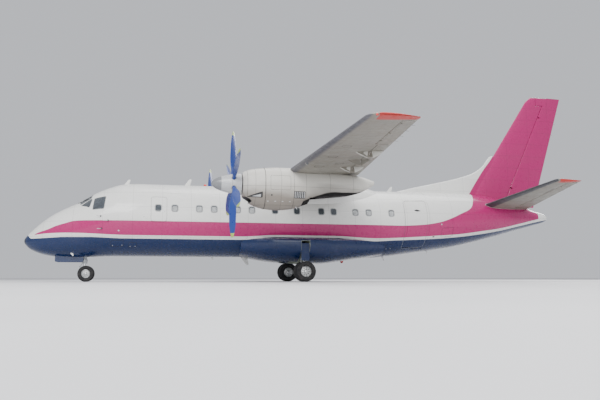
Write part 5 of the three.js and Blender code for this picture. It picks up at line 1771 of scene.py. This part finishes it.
def main_leg():
    """The port main leg with its trunnion, side brace, torque links and hoses."""
    station, reach = MAIN_GEAR["station"], LEG_SLOT["half"] - SEAT
    y, level, brace_y, brace_level = (MAIN_LEG[key] for key in ("y", "level", "brace_y", "brace_level"))
    hinge = up_leg(0.42) + 0.15 * FORWARD
    sleeves = [  # shares of the way up the leg, then the radius at each and the sides
        (0.5, 1.0, 0.088, 0.088, 36),
        (0.48, 0.53, 0.1, 0.1, 36),
        (0.60, 0.65, 0.098, 0.098, 36),
        (0.93, 1.0, 0.104, 0.104, 36),
        (0.04, 0.12, 0.068, 0.06, 32),
    ]
    leg = [rod(spot(station - reach, y, level), spot(station + reach, y, level), 0.07, sides=28)]
    leg += [rod(up_leg(low), up_leg(high), *sizes) for low, high, *sizes in sleeves]
    path = [(0.95, 0.10, 0), (0.6, 0.12, 0), (0.3, 0.11, 0.02), (0.06, 0.06, 0.05)]  # share, aft, out
    hose = np.array([up_leg(share) + aft * AFT + out * ACROSS for share, aft, out in path])
    leg += [
        rod(up_leg(0.62), spot(station, brace_y, brace_level), 0.04, sides=24),
        rod(spot(station - reach, brace_y, brace_level), spot(station + reach, brace_y, brace_level), 0.044),
        link_arm(up_leg(0.10) + 0.05 * FORWARD, hinge, 0.06, 0.024, 0.024),
        link_arm(up_leg(0.60) + 0.08 * FORWARD, hinge, 0.06, 0.024, 0.024),
        barrel(MAIN_GEAR, up_leg(0), 0.078, 0.034),
        tube(smooth_path(hose, 24), 0.010, 8),
        tube(smooth_path(hose + 0.03 * ACROSS, 24), 0.008, 8),
    ]
    for share in (0.72, 0.9):
        point = up_leg(share)
        leg.append(rod(point, np.array([point[0], MAIN_DOOR["inner"] + 0.002, point[2]]), 0.018))
    return joined(*leg)


def main_brakes():
    """The port brakes, a drum with six cylinders inside each wheel."""
    axle, rim = up_leg(0), MAIN_GEAR["tyre"] * RIM
    near, far = 0.07, MAIN_GEAR["apart"] / 2 - 0.36 * MAIN_GEAR["width"] / 2
    profile = [(0.045, near), (0.55 * rim, near), (0.62 * rim, near + 0.02), (0.62 * rim, far), (0.045, far)]
    parts = []
    for way in (-1, 1):
        parts.append(turned(profile, axle, way * ACROSS, 40, torus))
        for spoke in 0.46 * rim * spokes(FORWARD, UP, 6):
            face = axle + spoke + way * near * ACROSS
            parts.append(rod(face, face - way * 0.022 * ACROSS, 0.017, sides=14))
    return joined(*parts)


def make_main_gear(name, side, steel, chrome, metal, rubber, paint, dark):
    """A main leg with its piston, brakes, door and wheels."""
    side_piece("main_leg_parts", name, main_leg(), steel, "airframe", (f"main_leg_{name}",), "gear_steel")
    piston = rod(up_leg(0.1), up_leg(0.5), 0.055, sides=36)
    side_piece("main_piston", name, piston, chrome, slot="gear_steel")
    side_piece("main_brakes", name, main_brakes(), dark, slot="gear_steel")
    station, half = MAIN_GEAR["station"], MAIN_DOOR["half"]
    corners = rectangle(station - half, station + half, MAIN_DOOR["low"], MAIN_DOOR["top"])
    door = slab(softened(corners, 0.05), MAIN_DOOR["inner"], MAIN_DOOR["outer"], UPRIGHT)
    node = (f"main_door_{name}",)
    side_piece("main_door_panel", name, door, paint, "airframe", node, "lower_paint", LIVERY)
    wheels(f"main_{name}", MAIN_GEAR, up_leg(0) * (1, side, 1), f"{name}_wheel_pair", metal, rubber)


# Windows and doors of the fuselage

BLIND_AND_SKY_PANES = (5.39, 6.29, 6.84, 7.72, 8.27, 12.38, 12.93, 13.89)  # windows with a pale pane behind the glass: drawn blinds, and a painted reflection of the sky
CABIN_WINDOWS = (4.79, 5.39, 6.29, 6.84, 7.72, 8.27, 9.16, 10.02, 10.99, 11.49, 12.38, 12.93, 13.89)
WINDOW = {"level": 0.36, "half": 0.135, "tall": 0.155, "corner": 0.085, "surround": 0.026}
PANES = {  # corners as station and degrees round the skin from the side
    "front": [(1.94, 87), (1.99, 57), (2.36, 58), (2.42, 87)],
    "corner": [(2.01, 52), (2.33, 33), (2.41, 50), (2.37, 55)],
    "side": [(2.46, 25), (2.85, 20), (2.90, 44), (2.50, 50)],
}
DRAIN_LOUVRE, DOOR_HANDLE = (15.8, -0.54), (15.04, 0.50)  # station and level
HATCHES = {  # middle station, middle level, half length, half height, corner, sides that have it
    "front_exit": (4.815, 0.33, 0.285, 0.50, 0.10, (PORT, STARBOARD)),
    "baggage_door": (4.02, -0.10, 0.56, 0.62, 0.12, (STARBOARD,)),
    "service_door": (14.98, 0.0, 0.36, 0.72, 0.12, (STARBOARD,)),
    "front_panel": (3.35, -0.95, 0.22, 0.14, 0.03, (PORT, STARBOARD)),
    "power_socket": (3.9, -1.0, 0.14, 0.12, 0.03, (PORT,)),
    "rear_panel": (16.4, -0.35, 0.26, 0.20, 0.04, (PORT, STARBOARD)),
    "water_panel": (13.9, -0.98, 0.14, 0.14, 0.03, (PORT, STARBOARD)),
}


def make_windows(surround_paint, glazing, blind_and_sky, seal):
    """Cabin windows and the flight deck's panes, each a glazed pad in a raised surround."""
    surrounds, panes, seals, blind_and_sky_pads = [], [], [], []
    outline = divided(rounded(WINDOW["half"], WINDOW["tall"], WINDOW["corner"]), 0.06)
    pane = (1 - WINDOW["surround"] / WINDOW["half"]) * outline
    for side in SIDES.values():
        for station in CABIN_WINDOWS:
            place = body_patch(station, WINDOW["level"], side)
            surrounds.append(pad(outline, place, -0.012, 0.0035))
            panes.append(pad(pane, place, -0.010, 0.0055))
            # A pale pad behind the pane: drawn blinds, and a painted reflection of the sky
            if station in BLIND_AND_SKY_PANES:
                blind_and_sky_pads.append(pad(pane * (0.86, 0.80) - (0, 0.016), place, -0.002, 0.0065))
        for corners in PANES.values():

            def around(station, angle, height, side=side):
                return on_body(station, angle, height, side)

            shape = divided(softened(np.array(corners) * (1, math.radians(1)), 0.045), 0.05)
            middle = shape.mean(0)
            surrounds.append(pad(middle + (shape - middle) * 1.10, around, -0.012, 0.004))
            panes.append(pad(shape, around, -0.010, 0.007))
            seals.append(hoop(shape, around, 0.006))
    rows = [
        ("window_surrounds", surrounds, surround_paint),
        ("window_panes", panes, glazing),
        ("window_blinds_and_painted_sky", blind_and_sky_pads, blind_and_sky),
        ("windscreen_seals", seals, seal),
    ]
    for name, shapes, material in rows:
        piece(name, joined(*shapes), material, slot="white_paint")


def make_hatches(seal, metal):
    """Seams of the doors and panels that don't open here, and their handles."""
    seams, handles = [], []
    for name, (station, level, half, tall, corner, sides) in HATCHES.items():
        outline = divided(rounded(half, tall, corner), 0.05)
        for side in sides:
            place = body_patch(station, level, side)
            seams.append(hoop(outline, place, 0.0045))
            if "door" in name or "exit" in name:
                handle = rounded(0.07, 0.022, 0.02, 4) + (half - 0.15, -0.1)
                handles.append(pad(handle, place, -0.006, 0.008))
            for end in (-1, 1):
                latch = rounded(0.018, 0.018, 0.017, 4) + (end * (half - 0.05), -tall + 0.05)
                handles.append(pad(latch, place, -0.004, 0.003))
    piece("hatch_seams", joined(*seams), seal, slot="white_paint")
    piece("hatch_handles", joined(*handles), metal, slot="white_paint")


def make_door_fittings(seal, dark, trim):
    """The handle's recess, a dark pad of painted shade, and the handle on the outside of the passenger
    door, the thin trim round its opening and the drain louvre behind it."""
    middle = [(DOOR[low] + DOOR[high]) / 2 for low, high in (("from", "to"), ("top", "sill"))]
    centre, radius = body_at(np.array(middle[0]))
    levels = (DOOR["sill"], DOOR["top"], middle[1])
    low, high, at = (math.asin((level - centre) / radius) * radius for level in levels)
    grow = DOOR["gap"] + 0.006
    half = (DOOR["to"] - DOOR["from"]) / 2
    outline = rounded(half + grow, (high - low) / 2 + grow, DOOR_CORNER + grow) + (0, (low + high) / 2 - at)
    edge = hoop(divided(outline, 0.04), body_patch(*middle, PORT), 0.0045)
    piece("door_opening_trim", edge, trim, slot="white_paint", traits=LIVERY)
    louvre = pad(rounded(0.045, 0.025, 0.008, 4), body_patch(*DRAIN_LOUVRE, PORT), -0.004, 0.003)
    piece("door_drain_louvre", louvre, dark, slot="gear_steel")
    place = body_patch(*DOOR_HANDLE, PORT)
    # The recess is not cut: a dark pad on the skin paints its shade
    recess_shade = divided(softened([(-0.16, 0.0), (-0.04, 0.055), (0.16, -0.02), (0.0, -0.05)], 0.02), 0.04)
    piece("door_handle_recess", pad(recess_shade, place, -0.004, 0.002), seal, "stair_door", slot="white_paint")
    grip = rounded(0.07, 0.012, 0.011, 4) + (0.01, 0.0)
    piece("door_handle", pad(grip, place, -0.004, 0.010), dark, "stair_door", slot="gear_steel")


# Small fittings

AERIALS = [  # station, degrees round the skin, height, chord, thickness
    (8.17, -90, 0.30, 0.26, 0.024),
    (5.9, 90, 0.26, 0.22, 0.024),
    (14.3, 90, 0.22, 0.20, 0.024),
    (3.6, 90, 0.2, 0.18, 0.024),
    (1.73, -57, 0.12, 0.10, 0.018),
    (6.9, -90, 0.12, 0.09, 0.018),
    (13.95, -90, 0.16, 0.08, 0.018),
    (15.9, -90, 0.10, 0.07, 0.018),
]
PROBES = [(2.76, 8), (2.80, -13), (3.02, -2)]  # station, degrees round the skin
VENTS = [(4.28, 1), (3.4, -20), (16.1, -10)]  # the same
WIPER_ARM = [(1.90, 72, 0.012), (2.24, 62, 0.016)]  # its ends: station, degrees, height
WIPER_BLADE = [(2.06, 75, 0.014), (2.34, 66, 0.014)]
TOP_BEACON, BELLY_BEACON = 6.6, 12.2  # stations
AILERON_WICKS, ELEVATOR_WICKS, RUDDER_WICKS = (9.6, 10.2, 10.8, 11.4), (3.2, 3.7, 4.15), (4.2, 4.7, 5.2)
WING_PANELS = [  # station, distance out, half length, half width
    (9.75, 2.6, 0.16, 0.11),
    (9.72, 5.9, 0.15, 0.11),
    (9.72, 7.5, 0.14, 0.10),
    (9.70, 9.0, 0.13, 0.09),
    (10.25, 6.4, 0.14, 0.09),
    (10.2, 3.1, 0.16, 0.1),
]


def blade_aerial(root, out, aft, height, chord, thick, sweep=0.5):
    """A thin swept blade that stands on the skin, its chord falling to 45 percent at the top."""
    out, aft = unit(out), unit(aft)
    share = np.array([-0.1, 0, 0.2, 0.4, 0.6, 0.8, 0.93, 1.0])[:, None]
    size = np.where(share < 0.93, 1 - 0.55 * np.maximum(share, 0), 0.36)
    turn = round_steps(20)
    along = size * chord / 2 * np.cos(turn) + sweep * height * share
    side = size * thick / 2 * np.sin(turn)
    return loft(placed((root, aft, np.cross(out, aft), out), along, side, height * share + 0 * along))


def on_skin(station, degrees, side=PORT, height=0.0):
    """A point on the fuselage and the direction off the skin there."""
    angle = math.radians(degrees)
    point, above = (on_body(np.array([station]), angle, at, side)[0] for at in (height, height + 1))
    return point, above - point


def belly_bottom(station):
    """The lowest point of the blister at a station."""
    return spot(station, 0, np.interp(station, *np.array(BELLY)[:, [0, 2]].T))


def dome(centre, out, radius, height, sides=28):
    """A round-topped lamp cover."""
    turn = np.linspace(0, np.pi / 2, 9)
    return turned([(radius, -0.01), *zip(radius * np.cos(turn), height * np.sin(turn))], centre, out, sides)


def make_aerials(paint):
    """Blade aerials and drain masts."""
    blades = []
    for station, degrees, *size in AERIALS:
        root, out = on_skin(station, degrees)
        if degrees < 0 and BELLY[0][0] < station < BELLY[-1][0]:
            root = belly_bottom(station)
        blades.append(blade_aerial(root, out, AFT, *size))
    piece("aerials", joined(*blades), paint, slot="white_paint")


def make_probes(metal, dark):
    """Bent air probes on round bases, flush vents and the wipers."""
    bright, black = [], []
    for side in SIDES.values():
        for station, degrees in PROBES:
            root, out = on_skin(station, degrees, side)
            bend = root + 0.07 * out
            path = [root - 0.02 * out, root + 0.035 * out, bend + 0.03 * FORWARD, bend + 0.16 * FORWARD]
            bright.append(tube(smooth_path(path, 14), 0.008, 10))
            black.append(turned([(0.035, -0.004), (0.035, 0.002), (0.028, 0.004)], root, out, 24))
        for station, degrees in VENTS:
            vent = [(0.03, -0.004), (0.03, 0.0015), (0.02, 0.003)]
            bright.append(turned(vent, *on_skin(station, degrees, side), 24))
        for ends, radius in ((WIPER_ARM, 0.007), (WIPER_BLADE, 0.009)):
            points = [on_skin(at, degrees, side, height)[0] for at, degrees, height in ends]
            black.append(rod(*points, radius))
        at, degrees, height = WIPER_ARM[0]
        black.append(dome(on_skin(at, degrees, side, height)[0], on_skin(at, degrees, side)[1], 0.02, 0.014))
    piece("probes", joined(*bright), metal, slot="gear_steel")
    piece("wipers_and_bases", joined(*black), dark, slot="gear_steel")


def make_lamps(red_glass, clear_glass):
    """Beacons over and under the body, and the tail lamp."""
    red = [dome(*on_skin(TOP_BEACON, 90), 0.07, 0.09), dome(belly_bottom(BELLY_BEACON), -UP, 0.07, 0.09)]
    piece("beacons", joined(*red), red_glass, slot="white_paint")
    tail = dome(spot(TAIL_END - 0.01, 0, 0.41), AFT, 0.06, 0.07)
    piece("tail_lamp", tail, clear_glass, slot="white_paint")


def wicks(foil, spans, length=0.10, drop=0.0):
    """Static wicks that trail from the edge of a foil."""
    rods = []
    for span in spans:
        edge, chord, level, _ = between(foil.rows, span)
        root = foil.place(edge + chord - 0.02, span, level)
        rods.append(rod(root, root + length * AFT - drop * UP, 0.004, 0.0025, 8))
    return joined(*rods)


def under_wing(station, y, depth=0.0):
    """Points on the wing's lower skin, or below it by a depth."""
    y = np.atleast_1d(np.asarray(y, float))
    row = between(WING, y)
    share = (station - row[:, 0]) / row[:, 1]
    return wing_foil.section(row, y, share[:, None], -1)[:, 0] - depth * UP


def make_flap_fairings(name, paint):
    """A fairing ahead of each flap bracket, and its tail that moves with the flap."""
    fixed, tails = [], {}
    for which, (part, spans) in FLAPS.items():
        tails[which] = []
        for span in spans:
            frame = bracket_frame(part, spans, span)
            if span == SHORT_FAIRING:
                fixed.append(fairing(frame, -0.46, -0.10, 0.20, 0.06, 0.03, 0.6))
                continue
            fixed.append(fairing(frame, -0.50, -0.036, 0.20, -0.045, 0.042, 0.88))
            tails[which].append(fairing(frame, 0.040, 0.38, 0.17, -0.040, 0.038, 0.12))
    side_piece("flap_fairings", name, joined(*fixed), paint, slot="wing_paint")
    for which, shapes in tails.items():
        body = f"{name}_{which}_flap"
        side_piece(f"{which}_flap_tails", name, joined(*shapes), paint, body, slot="wing_paint")


def make_wing_fittings(name, metal, dark, seal, clear_glass, red_glass):
    """Static wicks, panel seams, tip and landing lamp, and the grille at the wing's root."""
    trailing = wicks(wing_foil, AILERON_WICKS, 0.11, 0.01)
    side_piece("aileron_wicks", name, trailing, dark, f"{name}_aileron", slot="gear_steel")
    seams = []
    for station, span, half_long, half_wide in WING_PANELS:

        def below(aft, out, depth, station=station, span=span):
            return under_wing(station + aft, span + out, depth)

        seams.append(hoop(divided(rounded(half_long, half_wide, 0.05), 0.05), below, 0.0035))
    side_piece("wing_panel_seams", name, joined(*seams), seal, slot="wing_paint")
    tip = spot(between(WING, TIP["start"])[0] + 0.22, HALF_SPAN - 0.03, 1.50)
    lamp = dome(tip, np.array([0.75, 0.66, 0.0]), 0.035, 0.05)
    side_piece("tip_lamp", name, lamp, red_glass, slot="wing_paint")
    profile, down = [(0.085, -0.03), (0.085, 0.004), (0.07, 0.008)], np.array([0.55, 0, -0.83])
    landing = turned(profile, under_wing(9.22, 6.15, -0.004)[0], down, 32)
    side_piece("landing_lamp", name, landing, clear_glass, slot="wing_paint")
    place = hump_patch(8.77, 1.03)
    frame = pad(divided(rounded(0.13, 0.105, 0.03), 0.05), place, -0.01, 0.004)
    side_piece("root_window_frame", name, frame, seal, slot="white_paint")
    slat = rounded(0.10, 0.011, 0.01, 3)
    slats = [pad(divided(slat + (0, rise), 0.05), place, 0.0, 0.008) for rise in (-0.06, -0.02, 0.02, 0.06)]
    side_piece("root_window_slats", name, joined(*slats), metal, slot="white_paint")


def make_tail_fittings(dark, red_glass):
    """The beacon on the fin, and the static wicks of the rudder and the elevators."""
    top = spot(FIN[2][1] + 0.45, 0, FIN_TOP - 0.042)
    piece("fin_beacon", dome(top, UP, 0.05, 0.042), red_glass, slot="tail_paint")
    piece("rudder_wicks", wicks(fin_foil, RUDDER_WICKS), dark, "rudder_panel", slot="gear_steel")
    for name in SIDES:
        trailing = wicks(tail_foil, ELEVATOR_WICKS)
        side_piece("elevator_wicks", name, trailing, dark, f"{name}_elevator", slot="gear_steel")


def half_at(half, share, power):
    """Half the width of an oval at a share of its height, on either side of its centre."""
    return half * (1 - np.clip(np.abs(share), 0, 0.999) ** power) ** (1 / power)


def hump_patch(station, level):
    """Places on the hump's port side: distance aft, distance up, and height off the skin."""

    def place(aft, up, height):
        where = station + np.asarray(aft, float)
        half, top = flowing(HUMP, where).T
        out = half_at(half, (level + up - HUMP_LEVEL) / (top - HUMP_LEVEL), HUMP_POWER)
        centre, radius = body_at(where)
        skin = np.sqrt(np.maximum(radius**2 - (level + up - centre) ** 2, 0))
        return spot(where, np.maximum(out, skin) + height, level + up)

    return place


def nacelle_patch(station, level):
    """Places on the nacelle's outboard side: distance aft, distance up, and height off the skin."""

    def place(aft, up, height):
        where = station + np.asarray(aft, float)
        half, top, bottom, widest = flowing(NACELLE, where).T
        rise = level + up - widest
        tall = np.where(rise > 0, top - widest, widest - bottom)
        out = half_at(half, rise / tall, NACELLE_POWER)
        return spot(where, ENGINE["y"] + out + height, ENGINE["level"] + rise + widest)

    return place


def nacelle_twin(shape):
    """The same shape on the other side of the nacelle."""
    points, faces = mirrored(shape)
    return points + (0, 2 * ENGINE["y"], 0), faces


def nacelle_side():
    """Openings, seams and louvres of the outboard side: the inlet with its ramp, the grille, a
    small vent, the cowl's panel and its latches."""
    inlet, grille, vent = nacelle_patch(7.95, -0.385), nacelle_patch(9.38, -0.37), nacelle_patch(8.42, -0.40)
    mouth = divided(softened([(-0.33, -0.07), (0.16, -0.10), (0.16, 0.09), (0.0, 0.04)], 0.02), 0.04)
    ramp = divided(softened([(-0.20, -0.062), (0.11, -0.085), (0.11, 0.01)], 0.015), 0.04)
    openings = [
        pad(mouth, inlet, -0.01, 0.003),
        pad(divided(rounded(0.20, 0.12, 0.02), 0.05), grille, -0.01, 0.002),
        pad(rounded(0.025, 0.025, 0.005, 3), vent, -0.005, 0.003),
    ]
    panel = divided(rounded(0.34, 0.24, 0.05), 0.05)
    seams = [hoop(mouth, inlet, 0.008), hoop(panel, nacelle_patch(8.72, 0.02), 0.0035)]
    louvres = [pad(ramp, inlet, -0.005, 0.006)]
    for column in np.arange(-0.16, 0.17, 0.064):
        slat = divided(rounded(0.014, 0.10, 0.008, 3) + (column, 0), 0.05)
        louvres.append(pad(slat, grille, -0.002, 0.010))
    for station in (8.3, 8.55, 8.8, 9.05):
        louvres.append(pad(rounded(0.03, 0.012, 0.01, 3), nacelle_patch(station, -0.60), -0.003, 0.004))
    return openings, seams, louvres


def make_nacelle_fittings(name, seal, dark, metal):
    """Openings, louvres and latches on both sides, rings round the cowl, lip and drain mast."""
    both = [shapes + [nacelle_twin(shape) for shape in shapes] for shapes in nacelle_side()]
    openings, seams, louvres = both
    for station, thick in ((7.62, 0.004), (8.21, 0.009), (9.18, 0.004)):
        ring = nacelle_rings(np.array([station]))[0]
        out = unit(np.cross(AFT, np.roll(ring, -1, 0) - np.roll(ring, 1, 0)))
        seams.append(moulding(ring, out, AFT, thick, 6))
    mast = spot(9.3, ENGINE["y"] + 0.18, ENGINE["level"] - 0.73)
    louvres.append(blade_aerial(mast, -UP, AFT, 0.10, 0.05, 0.012))
    side_piece("nacelle_openings", name, joined(*openings), dark, slot="engine_steel")
    side_piece("nacelle_seams", name, joined(*seams), seal, slot="nacelle_paint")
    side_piece("nacelle_louvres", name, joined(*louvres), metal, slot="nacelle_paint")
    side_piece("chin_lip", name, chin_lip(0.014), dark, slot="engine_steel")


# Stage


def placed_data(name, data, place, aim):
    """A lamp or camera at a place, facing a point."""
    made = bpy.data.objects.new(name, data)
    bpy.context.scene.collection.objects.link(made)
    made.location = place
    made.rotation_euler = (Vector(aim) - Vector(place)).to_track_quat("-Z", "Y").to_euler()
    return made


PHOTO_AZIMUTH = math.radians(167)
CAMERA_DISTANCE, CAMERA_HEIGHT, LENS = 27.0, 0.15, 40
AIM = (0.85, 0, 3.3)
LIGHTS = {  # place, point it faces, size, power
    "key": ((16, 26, 22), (0, 0, 2.5), 16, 9000),
    "top": ((-6, -4, 26), (0, 0, 2.5), 22, 6000),
    "low_fill": ((6, 40, 12), (0, 0, 3), 22, 4200),
    "rim": ((-24, -18, 14), (0, 0, 2.5), 10, 3500),
}
FLOOR_HALF = 160
FLOOR_PALE, FLOOR_DULL = (0.74, 0.74, 0.75), (0.70, 0.70, 0.715)
STUDIO, STUDIO_STRENGTH = (0.77, 0.79, 0.84, 1), 0.85


def make_floor():
    """A pale, matt floor with faint clouds in its colour."""
    finish = Finish("floor", Roughness=0.7)
    shade = finish.mix(finish.ramp(finish.noise(0.4), 0.3, 0.7), FLOOR_PALE, FLOOR_DULL)
    corners = np.array([(*corner, 0) for corner in rectangle(-1, 1, -1, 1)], float) * FLOOR_HALF
    mesh = mesh_of("floor", (corners, [np.array([[0, 1, 2, 3]])]))
    mesh.materials.append(finish.done(shade))
    floor = bpy.data.objects.new("floor", mesh)
    bpy.context.scene.collection.objects.link(floor)


def make_stage():
    """The floor, a pale surround, soft square lamps and the camera at floor level."""
    make_floor()
    scene = bpy.context.scene
    scene.world = bpy.data.worlds.new("studio")
    scene.world.use_nodes = True
    background = scene.world.node_tree.nodes["Background"]
    background.inputs["Color"].default_value = STUDIO
    background.inputs["Strength"].default_value = STUDIO_STRENGTH
    for name, (place, aim, size, power) in LIGHTS.items():
        data = bpy.data.lights.new(name, "AREA")
        data.energy, data.size = power, size
        placed_data(name, data, place, aim)
    data = bpy.data.cameras.new("camera")
    data.lens, data.clip_end = LENS, 500
    x = AIM[0] + CAMERA_DISTANCE * math.sin(PHOTO_AZIMUTH)
    y = AIM[1] - CAMERA_DISTANCE * math.cos(PHOTO_AZIMUTH)
    scene.camera = placed_data("camera", data, (x, y, CAMERA_HEIGHT), AIM)


# The aeroplane

PLAIN_PAINTS = {  # colour, roughness, metal, dirt, scale of the dirt
    "gear_grey": ((0.46, 0.48, 0.50), 0.4, 0.1, 0.2, 6),
    "bright_alloy": ((0.62, 0.63, 0.63), 0.35, 0.8, 0.25, 9),
    "chromed_piston": ((0.75, 0.76, 0.78), 0.12, 1.0, 0.05, 9),
    "dark_steel": ((0.06, 0.06, 0.062), 0.55, 0.6, 0.1, 5),
    "primer_lining": ((0.36, 0.40, 0.33), 0.6, 0.0, 0.3, 4),
    "cabin_lining": ((0.62, 0.60, 0.55), 0.6, 0.0, 0.1, 4),
    "window_surround": ((0.33, 0.34, 0.34), 0.45, 0.1, 0.1),
    "white_fittings": (WHITE, 0.35, 0.0, 0.1),
    "fairing_and_glint_paint": ((0.60, 0.59, 0.54), 0.4, 0.0, 0.3),
}


def make_aeroplane():
    """Every piece, from the fuselage to the smallest fittings, in its material."""
    paint = skin_paint()
    looks = [plain_paint(name, *values) for name, values in PLAIN_PAINTS.items()]
    steel, metal, chrome, dark, lining, cabin, surround, white, fairing_and_glint_paint = looks
    rubber = rubber_finish("tyre_rubber")
    lamp = glass("lamp_glass", (0.55, 0.58, 0.60))
    red_lamp = glass("red_lamp_glass", (0.45, 0.02, 0.015))
    panes = glass("cabin_glazing", (0.035, 0.042, 0.050))
    seal = rubber_finish("seam_sealant", (0.030, 0.030, 0.032))
    make_fuselage(paint)
    make_rear_fuselage(paint, cabin)
    make_door(paint, metal)
    make_blister(paint, lining)
    make_wings(paint, wing_finish("wing_paint_aged", WING_GREY))
    make_tail(paint)
    tail_paint = wing_finish("tail_paint_aged", TAIL_GREY, BOOT_DARK, 0.13, 0.02, TAIL_STAINS)
    # Pale paint of the flap fairings, also a painted glint on the tailplanes' root trim
    make_tailplanes(tail_paint, fairing_and_glint_paint)
    # The pale panes are drawn blinds and a painted reflection of the sky
    make_windows(surround, panes, glass("blinds_and_painted_sky_reflection", (0.30, 0.31, 0.31)), seal)
    make_door_fittings(seal, dark, skin_trim())
    make_hatches(seal, metal)
    make_aerials(white)
    make_probes(metal, dark)
    make_lamps(red_lamp, lamp)
    make_tail_fittings(dark, red_lamp)
    nacelle, blades, cone = nacelle_finish(), blade_finish(), spinner_finish()
    make_nose_leg(steel, lamp)
    make_nose_fork(steel, chrome, metal, rubber)
    make_nose_doors(paint)
    for name, side in SIDES.items():
        make_nacelle(name, nacelle, dark)
        make_propeller(name, side, blades, metal)
        make_spinner(name, side, cone)
        make_nacelle_fittings(name, seal, dark, metal)
        make_flap_fairings(name, fairing_and_glint_paint)
        make_wing_fittings(name, metal, dark, seal, panes, red_lamp)
        make_main_gear(name, side, steel, chrome, metal, rubber, paint, dark)
        for slot in bpy.data.objects[f"engine_{name}"].material_slots:
            slot.material = dark


make_stage()
make_aeroplane()
